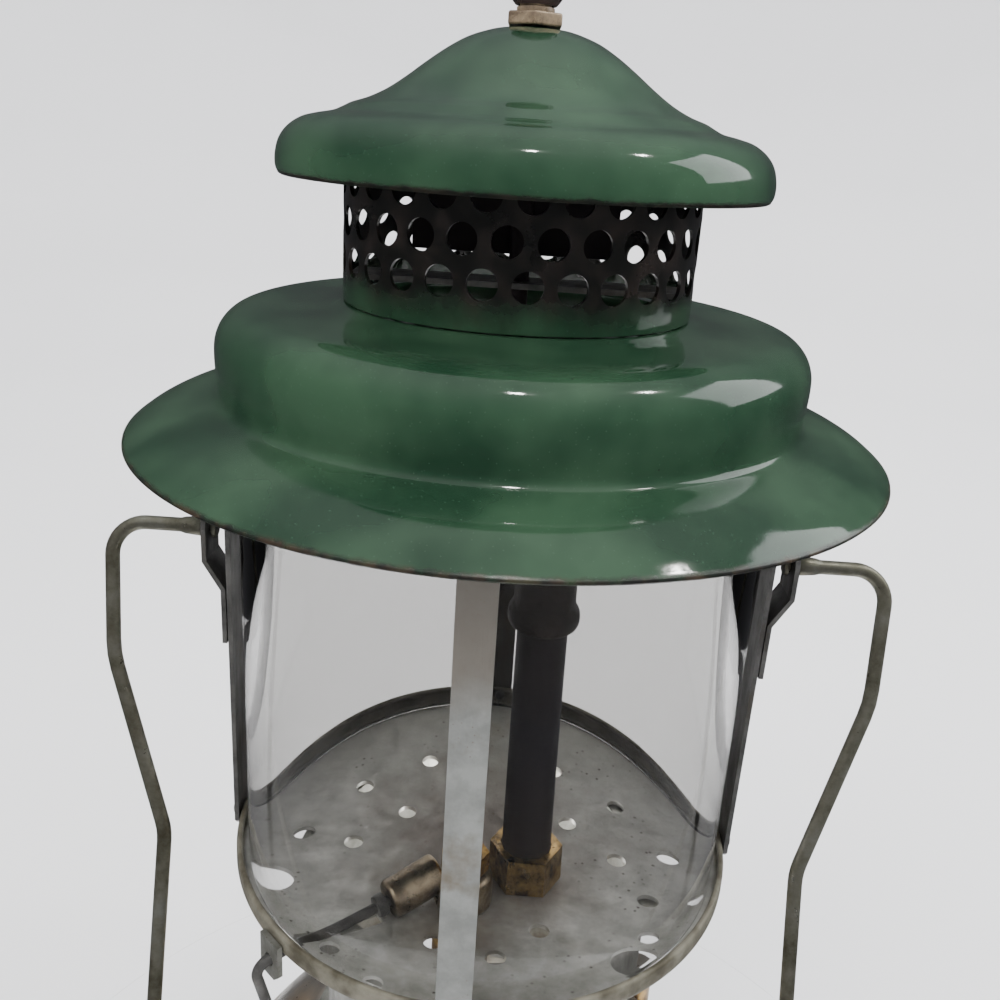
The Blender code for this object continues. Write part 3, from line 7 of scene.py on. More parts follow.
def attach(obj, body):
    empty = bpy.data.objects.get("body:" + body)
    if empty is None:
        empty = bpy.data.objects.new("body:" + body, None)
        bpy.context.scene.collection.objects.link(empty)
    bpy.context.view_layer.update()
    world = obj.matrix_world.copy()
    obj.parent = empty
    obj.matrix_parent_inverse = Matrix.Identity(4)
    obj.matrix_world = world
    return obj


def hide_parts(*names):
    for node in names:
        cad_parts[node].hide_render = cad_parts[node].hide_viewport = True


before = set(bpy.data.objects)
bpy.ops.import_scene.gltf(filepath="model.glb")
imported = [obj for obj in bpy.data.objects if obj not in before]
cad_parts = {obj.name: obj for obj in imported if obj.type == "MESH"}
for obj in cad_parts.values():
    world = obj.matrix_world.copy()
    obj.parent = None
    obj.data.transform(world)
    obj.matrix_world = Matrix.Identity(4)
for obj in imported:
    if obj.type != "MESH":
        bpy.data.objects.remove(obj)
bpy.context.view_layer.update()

MM = 0.001
DEG = math.pi / 180
TURN = 2 * math.pi
SMOOTH = 38 * DEG      # faces that meet at less than this shade as one
WIRE_ROUNDNESS = 6

# Levels and places, in millimetres, as the frame has them
FOUNT_TOP, COLLAR_FOOT, PAN, PLATE, GLOBE_FOOT = 84, 84.3, 153.1, 154.1, 154.4
PIVOT, RIM, NECK_FOOT, NUT_FOOT = 233.7, 262.0, 289.7, 343.11
RIVET_LEVEL = PAN + 2.7
STRAP_TURNS = {"front": -93, "right": 0, "back": 87, "left": 180}
TUBE_PLACE = (11.0, -11.0)
GENERATOR_PLACE = (-3.2, -21.0)
PUMP_FOOT = Vector((48.169, -53.498, 53.004))
PUMP_ALONG = Vector((0.59080726, -0.65615791, 0.46947157))
STEM_FOOT = Vector((-3.2, -21.0, 111.0))
STEM_ALONG = Vector((-0.34202014, -0.93969262, 0))
FILLER_PLACE = Vector((47.940, 33.568, 90.2))
LEVER_ENDS = Vector((-19.9, -27.5, 157.8)), Vector((-47.4, -46.3, 149.9))

# Sizes, in millimetres
FOUNT_WALL, HOOD_WALL = 0.9, 0.9
COLLAR_RADIUS, WINDOWS, WINDOW_SPRING = 40, 4, 40.5
PAN_RADIUS, VENT_RADIUS, LIGHTING_RADIUS = 60.4, 2.3, 5.4
GLOBE_RADIUS, GLOBE_BORE, GLOBE_HEIGHT = 58.5, 55.3, 126.6
NECK_RADIUS, NECK_BORE, NECK_HEIGHT = 36.5, 35.8, 35.4
NECK_ROWS, NECK_HOLES, NECK_HOLE_RADIUS, NECK_ROW_STEP = 3, 28, 2.9, 7.6
WIRE_RADIUS, LEVER_RADIUS, NEEDLE_RADIUS = 1.65, 1.2, 0.5
CAP_REACH = 25         # from the centre line to each burner cap

# The pan's holes: share of its radius, and turn
VENTS = [(0.62, 150), (0.72, 178), (0.52, 184), (0.36, 155), (0.56, 118), (0.84, 233), (0.90, 248),
         (0.58, 56), (0.40, 22), (0.66, 26), (0.56, 356), (0.76, 2), (0.70, 338), (0.86, 342), (0.80, 322),
         (0.60, 256), (0.65, 277), (0.54, 296)]
LIGHTING_HOLES = [(0.83, 200), (0.86, 312)]


# Making pieces

def alone(thing):
    bpy.ops.object.select_all(action="DESELECT")
    thing.select_set(True)
    bpy.context.view_layer.objects.active = thing


def around(turn, radius=1.0, level=0.0):
    """The point at this turn, in degrees, round the lantern's centre line."""
    return Vector((radius * math.cos(turn * DEG), radius * math.sin(turn * DEG), level))


def settle(thing, place=(0, 0, 0), along=(0, 0, 1)):
    """Move a piece made on the local axis to its place, in millimetres, and keep it in its mesh."""
    turn = Vector(along).to_track_quat("Z", "Y").to_matrix().to_4x4()
    thing.matrix_world = Matrix.Translation(Vector(place) * MM) @ turn
    alone(thing)
    bpy.ops.object.transform_apply(location=True, rotation=True, scale=True)
    bpy.ops.object.shade_smooth_by_angle(angle=SMOOTH)
    return thing


def lathe(name, outline, place=(0, 0, 0), along=(0, 0, 1), steps=96):
    """Spin a closed outline of (radius, height) points, in millimetres, round the local axis."""
    bpy.ops.object.select_all(action="DESELECT")
    bpy.ops.mesh.primitive_circle_add(vertices=len(outline), radius=MM, fill_type="NOTHING")
    thing = bpy.context.active_object
    thing.name = name
    for vert, (radius, height) in zip(thing.data.vertices, outline):
        vert.co = (radius * MM, 0, height * MM)
    bpy.ops.object.mode_set(mode="EDIT")
    bpy.ops.mesh.select_all(action="SELECT")
    bpy.ops.mesh.spin(steps=steps, angle=TURN, center=(0, 0, 0), axis=(0, 0, 1))
    bpy.ops.mesh.select_all(action="SELECT")
    bpy.ops.mesh.remove_doubles(threshold=0.000001)
    bpy.ops.mesh.delete_loose(use_verts=True, use_edges=True, use_faces=False)
    bpy.ops.mesh.select_all(action="SELECT")
    bpy.ops.mesh.normals_make_consistent(inside=False)
    bpy.ops.object.mode_set(mode="OBJECT")
    return settle(thing, place, along)


def flowing(points, steps=5):
    """A smooth line through every point."""
    ends = [points[0]] + list(points) + [points[-1]]
    line = []
    for a, b, c, d in zip(ends, ends[1:], ends[2:], ends[3:]):
        for step in range(steps):
            t = step / steps
            line.append(tuple(0.5 * (2 * q + (r - p) * t + (2 * p - 5 * q + 4 * r - s) * t ** 2
                                     + (3 * q - p - 3 * r + s) * t ** 3)
                              for p, q, r, s in zip(a, b, c, d)))
    return line + [tuple(points[-1])]


def sheet(outer, wall):
    """Close an open outline into sheet of a wall's thickness, on its inner side, with a round edge."""
    inner = []
    for index, place in enumerate(outer):
        before = Vector(outer[max(index - 1, 0)])
        after = Vector(outer[min(index + 1, len(outer) - 1)])
        run = (after - before).normalized()
        inner.append(Vector(place) + Vector((run.y, -run.x)) * wall)
    if outer[0][0] < 0.001:
        inner[0].x = 0
    ends = [Vector(outer[-1]), inner[-1]]
    out = (ends[0] - Vector(outer[-2])).normalized() * wall * 0.35
    edge = [tuple(ends[0] * 0.75 + ends[1] * 0.25 + out), tuple(ends[0] * 0.25 + ends[1] * 0.75 + out)]
    return list(outer) + edge + [tuple(p) for p in reversed(inner)]


def eased(corners, ease=0.4):
    """Round every corner of a closed outline that is off the axis."""
    line = []
    count = len(corners)
    for index, place in enumerate(corners):
        here = Vector(place)
        before, after = Vector(corners[index - 1]), Vector(corners[(index + 1) % count])
        if here.x < 0.001:
            line.append(place)
            continue
        first, last = before - here, after - here
        reach = min(ease, first.length * 0.45, last.length * 0.45)
        start, end = here + first.normalized() * reach, here + last.normalized() * reach
        line += [tuple(start), tuple(here * 0.5 + (start + end) * 0.25), tuple(end)]
    return line


def rod(name, radius, low, high, place=(0, 0, 0), along=(0, 0, 1), ease=0.3, steps=48):
    return lathe(name, eased([(0, high), (radius, high), (radius, low), (0, low)], ease),
                 place, along, steps)


def joined(things, name):
    bpy.ops.object.select_all(action="DESELECT")
    for thing in things:
        thing.select_set(True)
    bpy.context.view_layer.objects.active = things[0]
    bpy.ops.object.join()
    things[0].name = name
    return things[0]


def applied(thing, kind, **settings):
    change = thing.modifiers.new(kind.lower(), kind)
    for key, value in settings.items():
        setattr(change, key, value)
    alone(thing)
    bpy.ops.object.modifier_apply(modifier=change.name)
    return thing


def cut(thing, cutters):
    """Cut with all of these tools together, and put the tools away."""
    tool = joined(cutters, "cutters") if len(cutters) > 1 else cutters[0]
    applied(thing, "BOOLEAN", operation="DIFFERENCE", object=tool, solver="EXACT", use_self=True)
    bpy.data.objects.remove(tool, do_unlink=True)
    alone(thing)
    bpy.ops.object.shade_smooth_by_angle(angle=SMOOTH)
    return thing


def bar(radius, place, along=(0, 0, 1), length=10, sides=24):
    """A straight bar centred on its place: a drill where it cuts, a hexagon where it has six sides."""
    bpy.ops.object.select_all(action="DESELECT")
    bpy.ops.mesh.primitive_cylinder_add(vertices=sides, radius=radius * MM, depth=length * MM)
    return settle(bpy.context.active_object, place, along)


def block(length, width, height):
    """A plain block in millimetres, still to be settled, and then eased or cut with."""
    bpy.ops.object.select_all(action="DESELECT")
    bpy.ops.mesh.primitive_cube_add(size=1)
    thing = bpy.context.active_object
    thing.data.transform(Matrix.Diagonal((length * MM, width * MM, height * MM, 1)))
    return thing


def bent(corners, bends, step=9 * DEG):
    """Straight runs between corners, with an arc of each corner's own bend radius."""
    path = [Vector(corners[0])]
    for index in range(1, len(corners) - 1):
        before, here, after = (Vector(corners[index + shift]) for shift in (-1, 0, 1))
        inward, outward = (before - here).normalized(), (after - here).normalized()
        half = inward.angle(outward) / 2
        bend = bends[index - 1]
        centre = here + (inward + outward).normalized() * (bend / math.sin(half))
        start = here + inward * (bend / math.tan(half)) - centre
        end = here + outward * (bend / math.tan(half)) - centre
        swept = start.angle(end)
        steps = max(2, math.ceil(swept / step))
        for turn in range(steps + 1):
            a = math.sin(swept * (1 - turn / steps)) / math.sin(swept)
            b = math.sin(swept * turn / steps) / math.sin(swept)
            path.append(centre + start * a + end * b)
    return path + [Vector(corners[-1])]


def wire(name, points, radius, swells=None):
    """A round wire along points in millimetres, swelled or thinned where swells says so."""
    bpy.ops.object.select_all(action="DESELECT")
    bpy.ops.curve.primitive_nurbs_path_add()
    thing = bpy.context.active_object
    thing.name = name
    line = thing.data
    line.splines.clear()
    line.bevel_depth = radius * MM
    line.bevel_resolution = WIRE_ROUNDNESS
    line.use_fill_caps = True
    run = line.splines.new("POLY")
    run.points.add(len(points) - 1)
    for index, place in enumerate(points):
        run.points[index].co = (*(Vector(place) * MM), 1)
        run.points[index].radius = swells[index] if swells else 1
    alone(thing)
    bpy.ops.object.convert(target="MESH")
    bpy.ops.object.mode_set(mode="EDIT")
    bpy.ops.mesh.select_all(action="SELECT")
    bpy.ops.mesh.remove_doubles(threshold=0.000001)
    bpy.ops.mesh.normals_make_consistent(inside=False)
    bpy.ops.object.mode_set(mode="OBJECT")
    bpy.ops.object.shade_smooth_by_angle(angle=SMOOTH)
    return thing


def fluted(name, radius, height, place, along, flutes, depth, ease=0.6, lobed=False):
    """A knob whose rim has regular flutes."""
    sides = flutes * 8
    outline = eased([(0, height), (radius, height), (radius, 0), (0, 0)], ease)
    thing = lathe(name, outline, steps=sides)
    for vert in thing.data.vertices:
        reach = vert.co.xy.length
        if reach > radius * MM * 0.8:
            wave = math.cos(flutes * math.atan2(vert.co.y, vert.co.x))
            share = 1 - depth * (0.5 - 0.5 * wave if lobed else (0.5 - 0.5 * wave) ** 3)
            vert.co.x *= share
            vert.co.y *= share
    return settle(thing, place, along)


def coat(thing, finish):
    thing.data.materials.clear()
    thing.data.materials.append(finish)


def fit(thing, finish, body, slot, *nodes):
    """Give a piece its finish, the body it rides on and the frame's nodes it stands for; its slot is not used.
    """
    coat(thing, finish)
    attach(thing, body)
    if nodes:
        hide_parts(*nodes)
    return thing


# Finishes

class Bench:
    """A new finish and the nodes that it is mixed from."""

    def __init__(self, name, colour, roughness, metallic=0.0, **more):
        self.finish = bpy.data.materials.new(name)
        self.finish.use_nodes = True
        self.tree = self.finish.node_tree
        self.shader = self.tree.nodes["Principled BSDF"]
        self.shader.inputs["Base Color"].default_value = (*colour, 1)
        self.shader.inputs["Roughness"].default_value = roughness
        self.shader.inputs["Metallic"].default_value = metallic
        for key, value in more.items():
            self.shader.inputs[key.replace("_", " ")].default_value = value
        self.spot = self.tree.nodes.new("ShaderNodeTexCoord").outputs["Object"]

    def join(self, source, node, socket):
        self.tree.links.new(source, node.inputs[socket])

    def to(self, socket, source):
        self.join(source, self.shader, socket)
        return self

    def patch(self, scale, detail=4.0, rough=0.55, stretch=(1, 1, 1), shift=0.0):
        """Soft cloudy patches, scale to the metre."""
        place = self.tree.nodes.new("ShaderNodeMapping")
        place.inputs["Scale"].default_value = stretch
        place.inputs["Location"].default_value = (shift, shift * 0.7, shift * 1.3)
        self.join(self.spot, place, "Vector")
        cloud = self.tree.nodes.new("ShaderNodeTexNoise")
        cloud.inputs["Scale"].default_value = scale
        cloud.inputs["Detail"].default_value = detail
        cloud.inputs["Roughness"].default_value = rough
        self.join(place.outputs[0], cloud, "Vector")
        return cloud.outputs["Fac"]

    def flecks(self, scale, stretch=(1, 1, 1), shift=0.0):
        """Distance to the nearest of many scattered points."""
        place = self.tree.nodes.new("ShaderNodeMapping")
        place.inputs["Scale"].default_value = stretch
        place.inputs["Location"].default_value = (shift, shift, shift)
        self.join(self.spot, place, "Vector")
        cells = self.tree.nodes.new("ShaderNodeTexVoronoi")
        cells.inputs["Scale"].default_value = scale
        self.join(place.outputs[0], cells, "Vector")
        return cells.outputs["Distance"]

    def sums(self, how, a, b=None, c=None):
        node = self.tree.nodes.new("ShaderNodeMath")
        node.operation = how
        for index, value in enumerate((a, b, c)):
            if value is None:
                continue
            if isinstance(value, (int, float)):
                node.inputs[index].default_value = value
            else:
                self.tree.links.new(value, node.inputs[index])
        return node.outputs[0]

    def between(self, value, low, high, start=0.0, end=1.0):
        """0 below low, 1 above high, and even in between."""
        node = self.tree.nodes.new("ShaderNodeMapRange")
        node.clamp = True
        self.join(value, node, "Value")
        node.inputs["From Min"].default_value = low
        node.inputs["From Max"].default_value = high
        node.inputs["To Min"].default_value = start
        node.inputs["To Max"].default_value = end
        return node.outputs[0]

    def height(self, axis="Z"):
        parts = self.tree.nodes.new("ShaderNodeSeparateXYZ")
        self.join(self.spot, parts, "Vector")
        return parts.outputs[axis]

    def reach(self):
        """Distance from the lantern's centre line."""
        flat = self.tree.nodes.new("ShaderNodeVectorMath")
        flat.operation = "MULTIPLY"
        flat.inputs[1].default_value = (1, 1, 0)
        self.tree.links.new(self.spot, flat.inputs[0])
        length = self.tree.nodes.new("ShaderNodeVectorMath")
        length.operation = "LENGTH"
        self.tree.links.new(flat.outputs[0], length.inputs[0])
        return length.outputs["Value"]

    def shades(self, value, stops):
        node = self.tree.nodes.new("ShaderNodeValToRGB")
        self.join(value, node, "Fac")
        band = node.color_ramp
        while len(band.elements) < len(stops):
            band.elements.new(0.5)
        for element, (place, colour) in zip(band.elements, stops):
            element.position = place
            element.color = (*colour, 1)
        return node.outputs["Color"]

    def mixed(self, share, under, over):
        node = self.tree.nodes.new("ShaderNodeMix")
        node.data_type = "RGBA"
        for socket, value in ((node.inputs["Factor"], share), (node.inputs[6], under),
                              (node.inputs[7], over)):
            if isinstance(value, (int, float)):
                socket.default_value = value
            elif isinstance(value, tuple):
                socket.default_value = (*value, 1)
            else:
                self.tree.links.new(value, socket)
        return node.outputs[2]

    def relief(self, height, strength, depth):
        node = self.tree.nodes.new("ShaderNodeBump")
        node.inputs["Strength"].default_value = strength
        node.inputs["Distance"].default_value = depth
        self.join(height, node, "Height")
        self.join(node.outputs[0], self.shader, "Normal")
        return self


DEEP = (0.010, 0.029, 0.0155)
LEAF = (0.026, 0.058, 0.032)
SOOT = (0.006, 0.006, 0.005)
RUST = (0.030, 0.020, 0.012)


def fired_enamel(name):
    """Glossy enamel over sheet, waved and speckled: the bench it is mixed on, its colour and roughness."""
    b = Bench(name, LEAF, 0.09, 0.0, Specular_IOR_Level=0.5, Coat_Weight=0.15, Coat_Roughness=0.04)
    colour = b.shades(b.patch(38, 3), [(0.36, DEEP), (0.62, LEAF)])
    colour = b.mixed(b.between(b.flecks(900), 0.05, 0.16, 0.5, 0.0), colour, (0.045, 0.085, 0.058))
    specks = b.between(b.flecks(330, shift=3.1), 0.035, 0.075, 1.0, 0.0)
    rare = b.between(b.patch(90, 2, shift=5.0), 0.60, 0.66)
    colour = b.mixed(b.sums("MULTIPLY", specks, rare), colour, SOOT)
    rough = b.between(b.patch(60, 5, 0.65), 0.35, 0.75, 0.05, 0.16)
    b.relief(b.sums("ADD", b.patch(26, 2, 0.4), b.sums("MULTIPLY", b.patch(420, 3), 0.05)), 0.35, 0.0009)
    return b, colour, rough


def sooted_enamel(name):
    """Enamel blackened by heat from its foot upwards, in clouds."""
    b, colour, rough = fired_enamel(name)
    low = b.between(b.height(), 0.2888, 0.3030)
    cloud = b.patch(85, 6, 0.7, (1, 1, 0.6))
    soot = b.between(b.sums("ADD", low, b.sums("MULTIPLY", cloud, 0.7)), 0.45, 0.9)
    black = b.mixed(b.between(b.patch(160, 4), 0.45, 0.65), SOOT, (0.018, 0.013, 0.011))
    b.to("Base Color", b.mixed(soot, colour, black))
    b.to("Roughness", b.sums("ADD", rough, b.sums("MULTIPLY", soot, 0.22)))
    return b.finish


def rim_enamel(name, rim, low, high):
    """Enamel whose bare rim, told by its reach or its height, is dark and chipped."""
    bare = RUST if rim == "reach" else (0.016, 0.012, 0.009)
    b, colour, rough = fired_enamel(name)
    where = b.reach() if rim == "reach" else b.height()
    edge = b.between(b.sums("ADD", where, b.sums("MULTIPLY", b.patch(300, 5, 0.7), 0.0016)), low, high)
    chipped = b.mixed(b.between(b.patch(240, 3, shift=2.0), 0.42, 0.6), SOOT, bare)
    b.to("Base Color", b.mixed(edge, colour, chipped))
    b.to("Roughness", b.sums("ADD", rough, b.sums("MULTIPLY", edge, 0.3)))
    return b.finish


def sheet_steel(name, pale, dark, stain, stain_share=0.5, metallic=0.75, brim_shade_level=None):
    """Dull plated sheet with clouded grey, fine scratches and brown stains, and painted shade from the brim
    above a height.
    """
    b = Bench(name, pale, 0.42, metallic)
    colour = b.shades(b.patch(150, 6, 0.65), [(0.36, dark), (0.64, pale)])
    stained = b.between(b.patch(46, 5, 0.7, shift=1.7), 0.62 - 0.2 * stain_share, 0.74)
    colour = b.mixed(stained, colour, stain)
    pits = b.between(b.flecks(700, shift=0.4), 0.06, 0.13, 0.75, 0.0)
    pitted = b.between(b.patch(70, 2, shift=9.0), 0.5, 0.6)
    colour = b.mixed(b.sums("MULTIPLY", pits, pitted), colour, stain)
    # Above the given height the sheet is darkened with painted shade from the brim, in place of a shadow.
    if brim_shade_level:
        level = b.sums("ADD", b.height(), b.sums("MULTIPLY", b.patch(90, 4, shift=0.6), 0.012))
        brim_shade = b.between(level, brim_shade_level, brim_shade_level + 0.012, 0.0, 0.85)
        colour = b.mixed(brim_shade, colour, (0.135, 0.118, 0.096))
    b.to("Base Color", colour)
    b.to("Roughness", b.between(b.patch(240, 6, 0.7, (1, 1, 0.2)), 0.3, 0.75, 0.30, 0.62))
    b.relief(b.sums("ADD", b.patch(900, 4, 0.6, (1, 1, 0.12)), b.patch(210, 4)), 0.18, 0.0003)
    return b.finish


def pan_steel():
    """Galvanised pan: mottled grey floor with burnt flecks, a brown rim, and painted shade that darkens it
    towards the back.
    """
    b = Bench("pan_steel", (0.30, 0.30, 0.26), 0.5, 0.2, Specular_IOR_Level=0.3)
    colour = b.shades(b.patch(120, 6, 0.7), [(0.34, (0.40, 0.40, 0.37)), (0.66, (0.68, 0.68, 0.645))])
    # Painted shade: the floor is darkened towards the back, not stained.
    back = b.between(b.sums("ADD", b.height("Y"), b.sums("MULTIPLY", b.patch(40, 4, shift=3.3), 0.03)),
                     -0.035, 0.055, 0.0, 0.8)
    colour = b.mixed(back, colour, (0.19, 0.186, 0.166))
    flecks = b.between(b.flecks(420, shift=0.9), 0.08, 0.20, 0.8, 0.0)
    colour = b.mixed(b.sums("MULTIPLY", flecks, b.between(b.patch(60, 3, shift=4.0), 0.44, 0.58)),
                     colour, (0.055, 0.042, 0.028))
    brown = b.between(b.patch(34, 4, 0.6, shift=6.0), 0.52, 0.72, 0.0, 0.7)
    colour = b.mixed(brown, colour, (0.16, 0.135, 0.095))
    bloom = b.sums("ADD", b.reach(), b.sums("MULTIPLY", b.patch(52, 5, 0.65, shift=8.0), 0.05))
    colour = b.mixed(b.between(bloom, 0.034, 0.062, 0.75, 0.0), colour, (0.125, 0.092, 0.075))
    rim = b.between(b.reach(), 0.0590, 0.0602)
    colour = b.mixed(rim, colour, b.shades(b.patch(130, 5, shift=2.0),
                                           [(0.38, (0.065, 0.058, 0.040)), (0.62, (0.17, 0.16, 0.125))]))
    b.to("Base Color", colour)
    b.to("Roughness", b.between(b.patch(200, 5), 0.3, 0.7, 0.32, 0.62))
    b.relief(b.sums("ADD", b.patch(520, 5), b.patch(90, 3)), 0.25, 0.0004)
    return b.finish


def bail_steel():
    """Dull wire in grey clouds with brown rust patches."""
    b = Bench("bail_steel", (0.26, 0.25, 0.20), 0.36, 0.85)
    colour = b.shades(b.patch(70, 6, 0.7), [(0.34, (0.125, 0.118, 0.082)), (0.5, (0.235, 0.228, 0.178)),
                                            (0.68, (0.33, 0.33, 0.285))])
    rust = b.between(b.patch(28, 4, 0.6, shift=3.0), 0.54, 0.66, 0.0, 0.8)
    colour = b.mixed(rust, colour, (0.085, 0.062, 0.035))
    b.to("Base Color", colour)
    b.to("Roughness", b.between(b.patch(300, 5), 0.3, 0.7, 0.26, 0.52))
    b.relief(b.patch(700, 5), 0.2, 0.0003)
    return b.finish


def burnt_steel():
    """Heat-tinted tube: blue-black with brown and straw bands."""
    b = Bench("burnt_steel", (0.03, 0.03, 0.04), 0.6, 0.0, Specular_IOR_Level=0.06)
    cloud = b.sums("MULTIPLY", b.patch(70, 5, 0.65), 0.45)
    band = b.sums("ADD", b.between(b.height(), 0.155, 0.222), cloud)
    colour = b.shades(band, [(0.2, (0.058, 0.042, 0.033)), (0.5, (0.020, 0.016, 0.017)),
                             (0.8, (0.009, 0.008, 0.012)), (1.0, (0.014, 0.011, 0.012))])
    b.to("Base Color", colour)
    b.to("Roughness", b.between(b.patch(180, 5), 0.3, 0.7, 0.45, 0.65))
    b.relief(b.patch(300, 4), 0.1, 0.0002)
    return b.finish


def cast_metal():
    """Sooty casting with a grained skin."""
    b = Bench("cast_metal", (0.04, 0.035, 0.03), 0.6, 0.0, Specular_IOR_Level=0.12)
    b.to("Base Color", b.shades(b.patch(150, 6, 0.7),
                                [(0.34, (0.008, 0.006, 0.005)), (0.66, (0.024, 0.019, 0.016))]))
    b.to("Roughness", b.between(b.patch(220, 5), 0.3, 0.7, 0.42, 0.75))
    b.relief(b.sums("ADD", b.patch(800, 4), b.patch(260, 4)), 0.4, 0.0006)
    return b.finish


def tarnished_brass(name, bright, dull, metallic=1.0):
    """Brass that has dulled in small clouds."""
    b = Bench(name, bright, 0.3, metallic)
    b.to("Base Color", b.shades(b.patch(230, 6, 0.7), [(0.38, dull), (0.60, bright)]))
    b.to("Roughness", b.between(b.patch(260, 5), 0.3, 0.7, 0.22, 0.52))
    b.relief(b.patch(900, 4), 0.2, 0.0002)
    return b.finish


def worn_nickel():
    """Thin nickel over brass, worn to tan in clouds."""
    b = Bench("worn_nickel", (0.55, 0.50, 0.42), 0.3, 0.9)
    wear = b.between(b.patch(30, 6, 0.65), 0.42, 0.62)
    plated = b.shades(b.patch(120, 5), [(0.35, (0.36, 0.33, 0.29)), (0.65, (0.56, 0.53, 0.48))])
    worn = b.shades(b.patch(90, 5, shift=2.0), [(0.35, (0.30, 0.20, 0.115)), (0.65, (0.50, 0.38, 0.25))])
    colour = b.mixed(wear, plated, worn)
    b.to("Base Color", colour)
    b.to("Roughness", b.between(b.patch(160, 6, 0.7), 0.3, 0.7, 0.2, 0.5))
    b.relief(b.patch(700, 4), 0.12, 0.0002)
    return b.finish


def globe_glass():
    """Clear glass with wiping haze and small white scuffs."""
    clear, scuffed = (0.61, 0.605, 0.595), (0.70, 0.70, 0.69)
    b = Bench("globe_glass", clear, 0.0, 0.0, Transmission_Weight=1.0, IOR=1.22)
    scuffs = b.between(b.flecks(260, (1, 1, 0.7), 1.3), 0.018, 0.05, 1.0, 0.0)
    rare = b.between(b.patch(44, 2, shift=7.0), 0.56, 0.62)
    b.to("Roughness", b.between(b.patch(60, 5, 0.7, (1, 1, 0.35)), 0.55, 0.85, 0.0, 0.10))
    b.to("Base Color", b.mixed(b.sums("MULTIPLY", scuffs, rare), clear, scuffed))
    b.relief(b.patch(22, 2, 0.4, (1, 1, 0.5)), 0.25, 0.0006)
    return b.finish


def moulded(name, colour, rough):
    """Plain moulded stuff, slightly clouded, with a fine grain."""
    b = Bench(name, colour, rough)
    pale = tuple(min(1, c * 2.0) for c in colour)
    b.to("Base Color", b.shades(b.patch(300, 5), [(0.4, colour), (0.7, pale)]))
    b.to("Roughness", b.between(b.patch(400, 5), 0.3, 0.7, rough - 0.1, rough + 0.2))
    b.relief(b.patch(1200, 4), 0.2, 0.0002)
    return b.finish


def studio_white(name, colour):
    b = Bench(name, colour, 0.8)
    b.to("Base Color", b.shades(b.patch(3, 3), [(0.3, tuple(c * 0.97 for c in colour)), (0.7, colour)]))
    return b.finish


# The lantern's pieces

def fount_pieces(nickel, brass, rubber):
    side = flowing([(44.8, FOUNT_TOP), (52.0, 79.4), (60.0, 71.0), (68.0, 60.5), (75.6, 47.9), (81.5, 33.6),
                    (84, 19.3), (83, 6.7), (80.2, 0.35)], 5)
    side = [(0, FOUNT_TOP), (30, FOUNT_TOP)] + side + [(79.4, 0.0), (76.2, 0.0)]
    shell = lathe("fount_shell_drawn", sheet(side, FOUNT_WALL), steps=128)
    cut(shell, [bar(6.3, (*GENERATOR_PLACE, FOUNT_TOP), length=8, sides=32),
                bar(9.3, FILLER_PLACE + Vector((0, 0, -19)), length=46, sides=32),
                bar(9.8, PUMP_FOOT - PUMP_ALONG * 27, PUMP_ALONG, 73, 32)])
    fit(shell, nickel, "lantern", "nickelled_brass", "fount_shell")
    floor = flowing([(0, 9.2), (38, 8.4), (70, 6.6), (75.8, 6.2)], 4) + [(78.6, 5.3), (78.9, 1.2)]
    bottom = lathe("fount_bottom_drawn", sheet(floor, FOUNT_WALL), steps=96)
    fit(bottom, nickel, "lantern", "nickelled_brass", "fount_bottom")
    bushing = eased([(7, 0), (9, 0), (9, -34), (7, -34)])
    bushing = lathe("filler_bushing_turned", bushing, FILLER_PLACE, steps=48)
    fit(bushing, brass, "lantern", "brass", "filler_bushing")
    lid = fluted("filler_cap_knurled", 12.5, 11.5, FILLER_PLACE + Vector((0, 0, -5.5)), (0, 0, 1),
                 flutes=24, depth=0.05, ease=1.0)
    cut(lid, [bar(9.3, FILLER_PLACE + Vector((0, 0, -3.7)), length=11.6, sides=48)])
    fit(lid, nickel, "filler_lid", "nickelled_brass", "filler_cap")
    ring = eased([(8, 1.9), (9, 1.9), (9, 0.3), (8, 0.3)], 0.2)
    ring = lathe("filler_gasket_ring", ring, FILLER_PLACE, steps=48)
    fit(ring, rubber, "filler_lid", "gasket_rubber", "filler_gasket")


